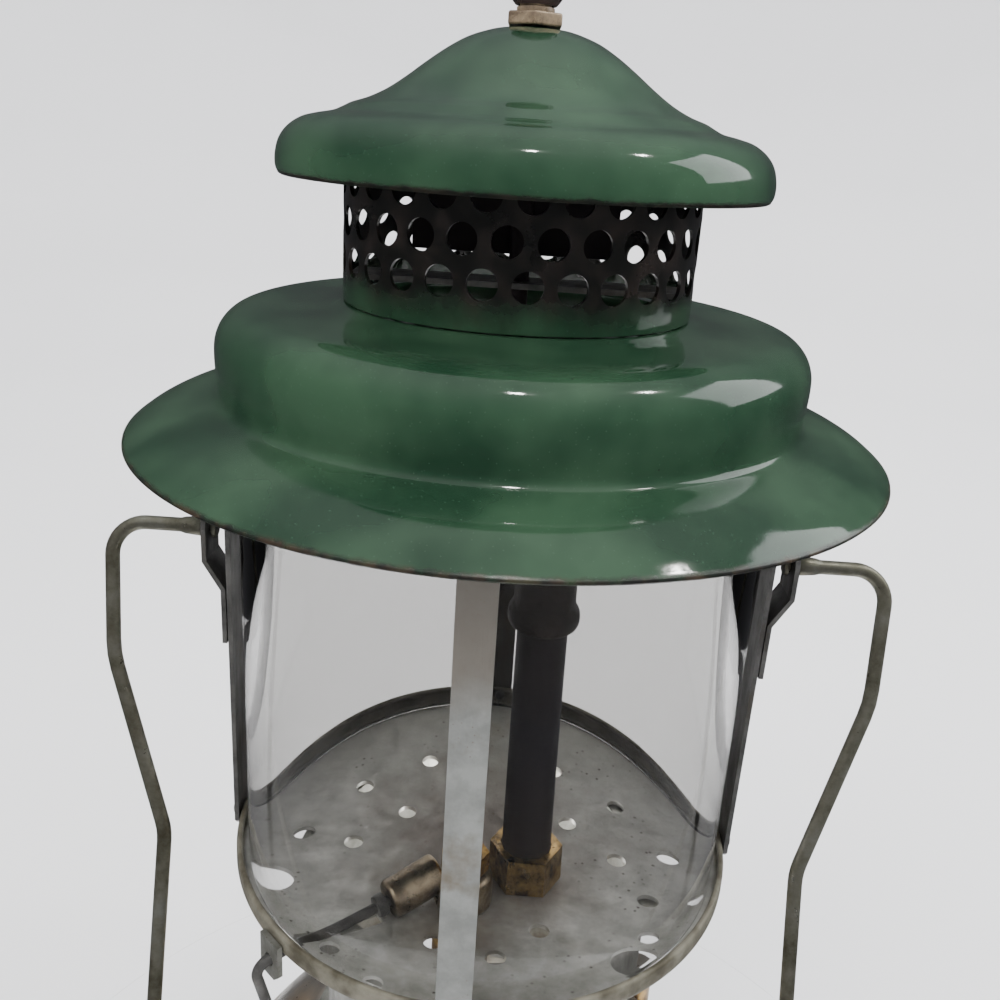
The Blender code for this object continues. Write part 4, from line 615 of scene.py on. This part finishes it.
def pump_pieces(nickel, brass, knob, leather):
    at = dict(place=PUMP_FOOT, along=PUMP_ALONG)
    tube = [(8.7, 4.5), (9.5, 4.5), (9.5, -64), (5.3, -64), (5.3, -63.2), (8.7, -63.2)]
    tube = lathe("pump_cylinder_drawn", eased(tube, 0.2), **at)
    fit(tube, brass, "lantern", "brass", "pump_cylinder")
    valve = [(0, -60.2), (2.5, -60.2), (5, -63.2), (5, -68.5), (2.5, -70), (0, -70)]
    fit(lathe("check_valve_turned", eased(valve), **at), brass, "lantern", "brass", "check_valve")
    cap = [(3.4, 8.8), (5.9, 8.8), (9.5, 8.3), (13, 6.8), (13, 3.7), (9.8, 3.7), (9.8, 4.8), (3.4, 4.8)]
    cap = lathe("pump_cap_pressed", eased(cap, 0.6), **at)
    fit(cap, nickel, "lantern", "nickelled_brass", "pump_cap")
    stem = [(1.7, 9.9), (5, 9.9), (5, 9.1), (3, 9.1), (3, -45.6), (1.7, -45.6)]
    stem = lathe("plunger_tube_drawn", eased(stem, 0.2), **at)
    fit(stem, nickel, "plunger", "nickelled_brass", "plunger_rod")
    cup = [(3.3, -43.2), (6.7, -43.2), (7.5, -37.8), (8.3, -37.8), (8.3, -44.8), (3.3, -44.8)]
    cup = lathe("pump_cup_moulded", eased(cup, 0.5), **at)
    fit(cup, leather, "plunger", "pump_leather", "pump_leather_cup")
    foot = PUMP_FOOT + PUMP_ALONG * 10.2
    grip = fluted("pump_knob_moulded", 9, 8, foot, PUMP_ALONG, flutes=16, depth=0.09, ease=1.4, lobed=True)
    cut(grip, [bar(1.6, foot, PUMP_ALONG, 8, 24)])
    fit(grip, knob, "air_knob", "dark_knob", "pump_knob")
    fit(rod("air_stem_turned", 1.3, -48.8, 13.9, **at), brass, "air_knob", "brass", "air_stem")


def collar_piece(steel):
    wall = [(39.1, 152.8), (44.0, 152.8), (44.0, 151.9), (COLLAR_RADIUS, 151.9), (COLLAR_RADIUS, 85.2),
            (44.0, 85.2), (44.0, COLLAR_FOOT), (39.1, COLLAR_FOOT)]
    ring = lathe("frame_collar_spun", eased(wall, 0.4), steps=160)
    tools = []
    for index in range(WINDOWS):
        turn = -90 + index * 360 / WINDOWS
        bpy.ops.object.select_all(action="DESELECT")
        bpy.ops.mesh.primitive_cylinder_add(vertices=48, radius=0.018, depth=0.03)
        arch = bpy.context.active_object
        arch.data.transform(Matrix.Diagonal((16 / 18, 1, 1, 1)))
        tools.append(settle(arch, around(turn, COLLAR_RADIUS, COLLAR_FOOT + WINDOW_SPRING), around(turn)))
        door = block(31.5, 36, 30)
        tools.append(settle(door, around(turn, COLLAR_RADIUS, COLLAR_FOOT + 24.75), around(turn)))
    cut(ring, tools)
    fit(ring, steel, "lantern", "galvanised_steel", "frame_collar")


def pan_piece(steel):
    bead = flowing([(59.9, 154.2), (60.3, 154.9), (PAN_RADIUS, 156.8), (59.9, 157.5), (60.2, 158.1),
                    (60.9, 158.2), (61.35, 157.7), (61.4, 156.4), (61.4, 154.2), (60.9, 153.3)], 4)
    outline = [(0, PLATE), (59.5, PLATE)] + bead + [(60.2, PAN), (0, PAN)]
    pan = lathe("frame_pan_pressed", outline, steps=192)
    tools = [bar(VENT_RADIUS, around(turn, PAN_RADIUS * share, PLATE)) for share, turn in VENTS]
    tools += [bar(LIGHTING_RADIUS, around(turn, PAN_RADIUS * share, PLATE), sides=40)
              for share, turn in LIGHTING_HOLES]
    tools.append(bar(6.15, (*TUBE_PLACE, PLATE), sides=40))
    tools.append(bar(3.9, (*GENERATOR_PLACE, PLATE), sides=40))
    tools += [bar(1.6, around(turn, 61, RIVET_LEVEL), around(turn), 6) for turn in STRAP_TURNS.values()]
    inner, outer = (end.xy for end in LEVER_ENDS)
    run = (outer - inner).normalized()
    start = inner + run * 1.5
    length = 59.8 - start.length
    middle = start + run * length / 2
    slot = block(length, 3.4, 8)
    slot.data.transform(Matrix.Rotation(math.atan2(run.y, run.x), 4, "Z"))
    tools.append(settle(slot, (middle.x, middle.y, PLATE)))
    cut(pan, tools)
    fit(pan, steel, "lantern", "galvanised_steel", "frame_pan")


def rivets(steel):
    for word, turn in STRAP_TURNS.items():
        head = [(0, 64.3)] + flowing([(0.8, 64.25), (1.7, 63.9), (2.25, 63.3), (2.3, 63.1)], 3)
        pin = head + [(1.3, 63.1), (1.3, 60.4), (0, 60.4)]
        piece = lathe("rivet_%s_set" % word, pin, (0, 0, RIVET_LEVEL), around(turn), 32)
        fit(piece, steel, "lantern", "heat_dark_steel", "rivet_" + word)


def bail_piece(steel):
    """The wire, bent flat and then tilted to where it rests against the fount."""
    side = [(74.6, 0, 0), (90.4, 0, 0), (88.1, 0, -31), (73.7, 0, -71.5), (73.7, 0, -162)]
    bends = [7.5, 25, 14, 36]
    path = bent(side + [(-x, y, z) for x, y, z in reversed(side)], bends + bends[::-1])
    stub = [(65.7, 0.5), (65.8, 1.3), (66.2, 1.45), (66.7, 1.45), (66.9, 0.82), (69.1, 0.82),
            (69.25, 1.28), (69.6, 1.39), (71.4, 1.3), (73.2, 1.2), (74.2, 1.02)]
    points = [((x, 0, 0), swell) for x, swell in stub] + [(tuple(p), 1) for p in path]
    points += [((-x, 0, 0), swell) for x, swell in reversed(stub)]
    tilt = Matrix.Rotation(-19.3 * DEG, 3, "X")
    line = [tilt @ Vector(p) + Vector((0, 0, PIVOT)) for p, swell in points]
    bail = wire("bail_bent", line, WIRE_RADIUS, [swell for p, swell in points])
    fit(bail, steel, "bail_body", "bail_steel", "bail")


def globe_piece(glass):
    low, high = GLOBE_FOOT, GLOBE_FOOT + GLOBE_HEIGHT
    outline = eased([(GLOBE_BORE, high), (GLOBE_RADIUS, high), (GLOBE_RADIUS, low), (GLOBE_BORE, low)], 1.2)
    fit(lathe("globe_blown", outline, steps=192), glass, "globe_body", "clear_glass", "globe")


def ventilator_pieces(hood_green, cap_green, neck_green, shade_plate_finish):
    """Hood, cap and punched neck, and a dark plate put in the body as painted shade that shows through the
    neck's holes.
    """
    brim = flowing([(38.0, 26.8), (41, 26.25), (46, 26.02), (52.0, 26.0), (55.6, 25.7), (58.6, 24.6),
                    (60.8, 22.5), (62.0, 19.9), (62.3, 17.2), (62.2, 13.5), (61.9, 10.8), (61.9, 9.2),
                    (62.4, 8.2), (63.6, 7.5), (68, 6.25), (73, 4.7), (77, 2.75), (79.6, 0.9), (80.5, 0.15)], 5)
    crown = [(34.3, 27.4), (36.3, 27.4), (37.1, 27.2)] + brim
    outline = [(r, z + RIM) for r, z in sheet(crown, HOOD_WALL)]
    fit(lathe("hood_pressed", outline, steps=192), hood_green, "ventilator", "green_enamel", "hood")
    top = flowing([(2.6, 80.8), (6.6, 80.5), (9.7, 79.75), (13.3, 78.4), (17.1, 76.2), (20.8, 73.6),
                   (24.5, 70.8), (28.2, 68.3), (31.8, 66.5), (35.0, 65.4), (36.8, 64.5), (38.6, 63.7),
                   (41.5, 63.1), (44.6, 62.2), (47.2, 60.5), (48.9, 58.3), (49.7, 55.6), (49.75, 53.2),
                   (49.2, 51.75)], 5)
    outline = [(r, z + RIM) for r, z in sheet(top, HOOD_WALL)]
    fit(lathe("cap_pressed", outline, steps=192), cap_green, "ventilator", "green_enamel", "cap")
    # A dark plate inside the neck stands in for the shade there, seen through the holes.
    strip = settle(block(43.5, 0.7, 26.2), (1.2, -3.6, 312.6))
    strip.name = "neck_shade_plate"
    applied(strip, "BEVEL", width=0.0002, segments=2)
    fit(settle(strip), shade_plate_finish, "ventilator", "heat_dark_steel")
    low, high = NECK_FOOT, NECK_FOOT + NECK_HEIGHT
    outline = eased([(NECK_BORE, high), (NECK_RADIUS, high), (NECK_RADIUS, low), (NECK_BORE, low)], 0.2)
    band = lathe("neck_band_punched", outline, steps=6 * NECK_HOLES)
    tools = []
    for row in range(NECK_ROWS):
        level = low + 4.6 + NECK_ROW_STEP * (row + 0.5)
        for hole in range(NECK_HOLES):
            turn = -90 + 2.9 + (hole + 0.5 * (row % 2)) * 360 / NECK_HOLES
            tools.append(bar(NECK_HOLE_RADIUS, around(turn, 36.2, level), around(turn), 3, 28))
    cut(band, tools)
    applied(band, "BEVEL", width=0.00012, segments=1, limit_method="ANGLE", angle_limit=40 * DEG)
    fit(settle(band), neck_green, "ventilator", "green_enamel", "neck_band")


def nut_pieces(brass, knob, burnt):
    at = (0, 0, NUT_FOOT)
    flats = bar(6, (0, 0, NUT_FOOT + 1.2), length=2.4, sides=6)
    applied(flats, "BEVEL", width=0.0004, segments=3)
    neck = eased([(0, 8.6), (3.1, 8.6), (3.1, 3.4), (3.7, 3.4), (3.7, 2.2), (0, 2.2)], 0.2)
    neck = lathe("ball_nut_neck", neck, at, steps=64)
    nut = joined([flats, neck], "ball_nut_turned")
    cut(nut, [bar(2.5, (0, 0, NUT_FOOT + 3.6), length=7.7, sides=40)])
    fit(nut, brass, "ball_nut", "brass", "ball_nut_sleeve")
    radius, centre = 5.78, 7.9
    arc = [(radius * math.cos(t * DEG), centre + radius * math.sin(t * DEG)) for t in range(86, -47, -4)]
    outline = [(0, centre + radius)] + arc + [(3.4, arc[-1][1]), (3.4, 9.0), (0, 9.0)]
    fit(lathe("ball_knob_turned", outline, at, steps=96), knob, "ball_nut", "dark_knob", "ball_knob")
    stud = rod("ventilator_stud_threaded", 2.2, 243.3, 350.1)
    fit(stud, burnt, "lantern", "heat_dark_steel", "ventilator_stud")


def burner_pieces(iron, burnt, screen):
    level, foot = RIM - 25.5, RIM - 43.5
    x, y = TUBE_PLACE
    gx, gy = GENERATOR_PLACE
    boss = flowing([(7.1, foot), (8.0, foot + 0.5), (8.35, foot + 1.8), (8.2, foot + 3.4),
                    (7.3, foot + 4.8), (7.1, foot + 6.5), (7.2, level)], 4)
    parts = [lathe("boss", [(0, foot)] + boss + [(0, level)], (x, y, 0))]
    bpy.ops.object.select_all(action="DESELECT")
    bpy.ops.mesh.primitive_uv_sphere_add(segments=48, ring_count=24, radius=1)
    lump = bpy.context.active_object
    lump.data.transform(Matrix.Diagonal((0.0135, 0.0096, 0.0076, 1)))
    parts.append(settle(lump, (2, 1, level)))
    parts.append(rod("arms", 5.4, -CAP_REACH, CAP_REACH, (0, 3, level), (1, 0, 0)))
    for side in (-1, 1):
        parts.append(rod("socket", 7.4, -6.8, 6.3, (side * CAP_REACH, 3, level), ease=1.2))
    parts.append(rod("stud_boss", 5.0, level - 1, RIM - 13.1, ease=0.6))
    parts.append(rod("jet_boss", 5.0, 0, 11.8, (gx, 0, level), (0, -1, 0), 0.6))
    body = joined(parts, "burner_casting_fettled")
    applied(body, "REMESH", mode="VOXEL", voxel_size=0.0005)
    applied(body, "SMOOTH", iterations=6, factor=0.5)
    cut(body, [bar(6.15, (x, y, foot + 2), length=10, sides=48),
               bar(5.6, (-CAP_REACH, 3, level - 6.2), length=9.8, sides=48),
               bar(5.6, (CAP_REACH, 3, level - 6.2), length=9.8, sides=48),
               bar(2.5, (0, 0, RIM - 14), length=10)])
    fit(body, iron, "lantern", "cast_iron", "burner_casting")
    low = level - 7
    for side, word in ((-1, "left"), (1, "right")):
        at = (side * CAP_REACH, 3, low)
        cap = [(4.0, 3.5), (5.3, 3.5), (5.3, -0.3), (8.4, -0.3), (8.4, -1.4), (7.6, -2.1), (8.4, -2.8),
               (8.4, -3.9), (4.65, -3.9), (4.65, -2.7), (4.0, -2.7)]
        fit(lathe("burner_cap_%s_turned" % word, eased(cap, 0.25), at), iron, "lantern", "cast_iron",
            "burner_cap_" + word)
        fit(rod("burner_screen_%s_woven" % word, 4.35, -3.6, -3.0, at, ease=0.1), screen, "lantern",
            "heat_dark_steel", "burner_screen_" + word)
    tube = eased([(4.85, RIM - 36.8), (5.85, RIM - 36.8), (5.85, 144.1), (4.85, 144.1)], 0.3)
    tube = lathe("air_tube_drawn", tube, (x, y, 0))
    fit(tube, burnt, "lantern", "heat_dark_steel", "air_tube")
    path = bent([(gx, gy, 162.7), (gx, gy, level), (gx, -12.3, level)], [5])
    pipe = wire("generator_bent", path, 3.2)
    cut(pipe, [bar(1.2, (gx, gy, 193), length=74, sides=24)])
    fit(pipe, burnt, "lantern", "heat_dark_steel", "generator_tube")


def tip_cleaner_pieces(brass, dark):
    gx, gy = GENERATOR_PLACE
    inner, outer = LEVER_ENDS
    along = (inner - outer).normalized()
    low = GLOBE_FOOT
    post = eased([(0, 162.4), (5.4, 162.4), (6.3, 161.6), (6.6, 160.2), (6.6, low), (0, low)], 0.4)
    barrel = rod("barrel", 4.4, 0.3, 13, inner, along, 0.8)
    body = joined([lathe("post", post, (gx, gy, 0)), barrel], "tip_cleaner_block_milled")
    applied(body, "REMESH", mode="VOXEL", voxel_size=0.00028)
    applied(body, "SMOOTH", iterations=3, factor=0.5)
    cut(body, [settle(block(60, 60, 60), (-10, -24, low - 30))])
    cut(body, [bar(1.5, (gx, gy, 158), length=12), bar(1.6, inner + along * 4.4, along, 9)])
    fit(body, brass, "lantern", "brass", "tip_cleaner_block")
    down = (Vector((0, 0, -1)) + along * along.z).normalized()
    path = bent([inner + along * 5, outer, outer + down * 13], [3.2])
    collar = [(-0.4, 1.0), (-0.5, 2.0), (-0.9, 2.17), (-2.4, 2.17), (-2.8, 2.0), (-2.9, 1.0)]
    points = [(path[0], 1)] + [(inner + along * shift, swell) for shift, swell in collar]
    points += [(place, 1) for place in path[1:]]
    ball = 2.7
    for index in range(1, 12):
        turn = math.pi * index / 12
        swell = max(0.05, ball / LEVER_RADIUS * math.sin(turn))
        points.append((path[-1] + down * ball * (1 - math.cos(turn)), swell))
    points = [p for p in points if not (p[1] < 1 and (Vector(p[0]) - path[-1]).length < 0.8)]
    swells = [swell for p, swell in points]
    lever = wire("tip_cleaner_lever_bent", [p for p, swell in points], LEVER_RADIUS, swells)
    fit(lever, dark, "lever", "heat_dark_steel", "tip_cleaner_lever")


def valve_pieces(brass, knob):
    gx, gy = GENERATOR_PLACE
    body = [(0, 154.1), (3.6, 154.1), (3.6, 151.8), (4.4, 150.6), (6.5, 144.8), (6.5, COLLAR_FOOT),
            (6, COLLAR_FOOT), (6, 77), (0, 77)]
    tower = lathe("valve_tower", eased(body, 0.5), (gx, gy, 0))
    boss = rod("valve_boss", 4.8, 0, 14, STEM_FOOT, STEM_ALONG, 0.6)
    flats = bar(10.39, (gx, gy, COLLAR_FOOT + 3), length=6, sides=6)
    applied(flats, "BEVEL", width=0.0006, segments=3)
    for part in (boss, flats):
        applied(tower, "BOOLEAN", operation="UNION", object=part, solver="EXACT")
        bpy.data.objects.remove(part, do_unlink=True)
    cut(tower, [bar(2.0, STEM_FOOT + STEM_ALONG * 13.7, STEM_ALONG, 12)])
    tower.name = "valve_body_machined"
    fit(tower, brass, "lantern", "brass", "valve_body")
    stem = rod("valve_stem_turned", 1.6, 8, 42.7, STEM_FOOT, STEM_ALONG)
    fit(stem, brass, "valve_knob", "brass", "valve_stem")
    foot = STEM_FOOT + STEM_ALONG * 39
    wheel = fluted("valve_wheel_moulded", 15, 5, foot, STEM_ALONG, flutes=8, depth=0.06, ease=1.5, lobed=True)
    tools = [lathe("dish", [(4.5, high), (11.1, high), (11.1, low), (4.5, low)], foot, STEM_ALONG)
             for low, high in ((-4, 1.5), (3.5, 9))]
    tools.append(bar(1.9, STEM_FOOT + STEM_ALONG * 40, STEM_ALONG, 6.1))
    cut(wheel, tools)
    fit(wheel, knob, "valve_knob", "dark_knob", "valve_wheel")
    pickup = rod("fuel_pickup_drawn", 2.5, 12.9, 76.7, (gx, gy, 0))
    fit(pickup, brass, "lantern", "brass", "fuel_pickup_tube")
    needle = rod("cleaning_needle_ground", NEEDLE_RADIUS, 158.4, 226, (gx, gy, 0), ease=0.2, steps=24)
    fit(needle, brass, "needle", "nickelled_brass", "cleaning_needle")


def dress_nodes(finishes):
    """Give each piece that stays as the frame has it its own finish."""
    for node, finish in finishes.items():
        coat(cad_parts[node], finish)


def placed(name, light, place=(0, 0, 0)):
    held = bpy.data.objects.new(name, light)
    held.location = place
    bpy.context.scene.collection.objects.link(held)
    return held


def lamps():
    """Soft area lamps and two wide suns that no gloss shows, two small lamps and a window that it does,
    and a small lamp in the collar that lights the pan's holes from below."""
    areas = [("key", (-0.55, -0.75, 1.25), 0.9, 14, (1.0, 0.985, 0.96)),
             ("fill", (0.85, -0.35, 1.0), 0.7, 7, (0.95, 0.97, 1.0)),
             ("back", (0.1, 0.95, 1.1), 1.1, 12, (1.0, 1.0, 1.0)),
             ("glint_left", (0.03, -0.45, 1.25), 0.05, 1.6, (1.0, 0.98, 0.94)),
             ("glint_right", (0.62, -0.10, 1.25), 0.05, 1.6, (1.0, 0.98, 0.94)),
             ("glint_window", (1.20, 0.25, 0.95), 0.85, 8, (0.97, 0.99, 1.0))]
    aim = Vector((0, 0, 0.25))
    for name, place, size, power, colour in areas:
        lamp = bpy.data.lights.new(name, "AREA")
        lamp.shape = "SQUARE"
        lamp.size = size
        lamp.energy = power
        lamp.color = colour
        held = placed(name, lamp, place)
        held.visible_glossy = name.startswith("glint")
        held.rotation_euler = (aim - Vector(place)).to_track_quat("-Z", "Y").to_euler()
    under = bpy.data.lights.new("under_pan", "POINT")
    under.energy = 0.15
    under.shadow_soft_size = 0.006
    placed("under_pan", under, (0, 0.008, 0.138)).visible_camera = False
    suns = [("wash_front", (0.25, 0.8, -0.75), 1.5), ("wash_rear", (-0.3, -0.8, -0.75), 1.2)]
    for name, away, power in suns:
        lamp = bpy.data.lights.new(name, "SUN")
        lamp.energy = power
        lamp.angle = 1.3
        held = placed(name, lamp)
        held.visible_glossy = False
        held.rotation_euler = Vector(away).to_track_quat("-Z", "Y").to_euler()


def sky():
    """Dark below the horizon and bright only overhead."""
    world = bpy.data.worlds.new("studio")
    bpy.context.scene.world = world
    world.use_nodes = True
    tree = world.node_tree
    spot = tree.nodes.new("ShaderNodeTexCoord")
    parts = tree.nodes.new("ShaderNodeSeparateXYZ")
    tree.links.new(spot.outputs["Generated"], parts.inputs["Vector"])
    shade = tree.nodes.new("ShaderNodeValToRGB")
    tree.links.new(parts.outputs["Z"], shade.inputs["Fac"])
    stops = [(0.0, (0.06, 0.06, 0.065)), (0.36, (0.13, 0.13, 0.14)), (0.72, (0.36, 0.37, 0.38)),
             (0.95, (0.75, 0.75, 0.75))]
    band = shade.color_ramp
    while len(band.elements) < len(stops):
        band.elements.new(0.5)
    for element, (place, colour) in zip(band.elements, stops):
        element.position = place
        element.color = (*colour, 1)
    tree.links.new(shade.outputs["Color"], tree.nodes["Background"].inputs["Color"])
    tree.nodes["Background"].inputs["Strength"].default_value = 1.0


def backdrop():
    """Pale floor, and a sweep round it that gloss doesn't show."""
    white = studio_white("studio_white", (0.88, 0.88, 0.895))
    edge, drop = 160, -20
    floor = lathe("studio_floor", [(0, 0), (edge, 0), (edge, drop), (0, drop)], (0, 0, -0.6))
    edge += 0.1
    rise = [(edge, 0), (900, 0), (1200, 20), (1420, 110), (1560, 290), (1620, 560), (1640, 1500),
            (1660, 1500), (1660, drop), (edge, drop)]
    sweep = lathe("studio_sweep", rise, (0, 0, -0.6))
    sweep.visible_glossy = False
    for piece in (floor, sweep):
        piece.data.materials.append(white)


def viewpoint():
    """The camera where the photograph was taken from."""
    pitch, yaw, roll = 20.14 * DEG, -0.20 * DEG, 3.74 * DEG
    eye, focal, frame_width, sensor = (0, -0.213, 0.3231), 994, 1000, 36
    ahead = Vector((math.sin(yaw) * math.cos(pitch), math.cos(yaw) * math.cos(pitch), -math.sin(pitch)))
    right = Vector((math.cos(yaw), -math.sin(yaw), 0))
    up = right.cross(ahead)
    across = right * math.cos(roll) + up * math.sin(roll)
    above = up * math.cos(roll) - right * math.sin(roll)
    lens = bpy.data.cameras.new("viewpoint")
    lens.sensor_width = sensor
    lens.lens = focal * sensor / frame_width
    lens.clip_start = 0.01
    held = placed("viewpoint", lens)
    turned = Matrix((across, above, -ahead)).transposed()
    held.matrix_world = Matrix.Translation(eye) @ turned.to_4x4()
    bpy.context.scene.camera = held


def make_lantern():
    hood_green = rim_enamel("hood_enamel", "reach", 0.0806, 0.0814)
    cap_green = rim_enamel("cap_enamel", "height", 0.3154, 0.3148)
    neck_green = sooted_enamel("neck_enamel")
    # The front strap is darkened above 231 mm with painted shade from the brim.
    front = sheet_steel("front_strap_steel", (0.245, 0.253, 0.24), (0.17, 0.175, 0.166), (0.13, 0.105, 0.073),
                        0.3, metallic=0.25, brim_shade_level=0.231)
    side = sheet_steel("side_strap_steel", (0.115, 0.112, 0.106), (0.048, 0.047, 0.045),
                       (0.06, 0.048, 0.034), 0.6, metallic=0.3)
    plate = sheet_steel("galvanised_sheet", (0.36, 0.36, 0.33), (0.21, 0.21, 0.185), (0.13, 0.10, 0.065))
    pan = pan_steel()
    wire_steel = bail_steel()
    burnt = burnt_steel()
    iron = cast_metal()
    brass = tarnished_brass("tarnished_brass", (0.52, 0.33, 0.115), (0.15, 0.095, 0.05))
    bright = tarnished_brass("bright_brass", (0.60, 0.36, 0.10), (0.26, 0.15, 0.05))
    sooty = tarnished_brass("sooty_brass", (0.45, 0.30, 0.12), (0.09, 0.062, 0.036))
    dull = tarnished_brass("dull_brass", (0.40, 0.325, 0.225), (0.17, 0.135, 0.095))
    nickel = worn_nickel()
    glass = globe_glass()
    ball = moulded("dark_ball", (0.022, 0.014, 0.014), 0.28)
    knob = moulded("dark_moulding", (0.018, 0.016, 0.016), 0.32)
    leather = moulded("oiled_leather", (0.09, 0.045, 0.022), 0.6)
    rubber = moulded("black_rubber", (0.015, 0.015, 0.015), 0.7)
    nut_brass = tarnished_brass("nut_brass", (0.34, 0.26, 0.17), (0.13, 0.095, 0.065), 0.35)

    fount_pieces(nickel, brass, rubber)
    pump_pieces(nickel, brass, knob, leather)
    collar_piece(plate)
    pan_piece(pan)
    rivets(side)
    bail_piece(wire_steel)
    globe_piece(glass)
    ventilator_pieces(hood_green, cap_green, neck_green, burnt)
    nut_pieces(nut_brass, ball, burnt)
    burner_pieces(iron, burnt, side)
    tip_cleaner_pieces(dull, side)
    valve_pieces(brass, knob)
    dress_nodes({"upright_front": front, "upright_back": side, "upright_left": side, "upright_right": side,
                 "bail_ear_left": side, "bail_ear_right": side, "lever_bracket": plate, "neck_crossbar": side,
                 "stud_lock_nut": burnt, "air_tube_nut": sooty, "generator_nut": bright,
                 "generator_elbow_nut": brass, "valve_packing_nut": brass})


make_lantern()
backdrop()
sky()
lamps()
viewpoint()
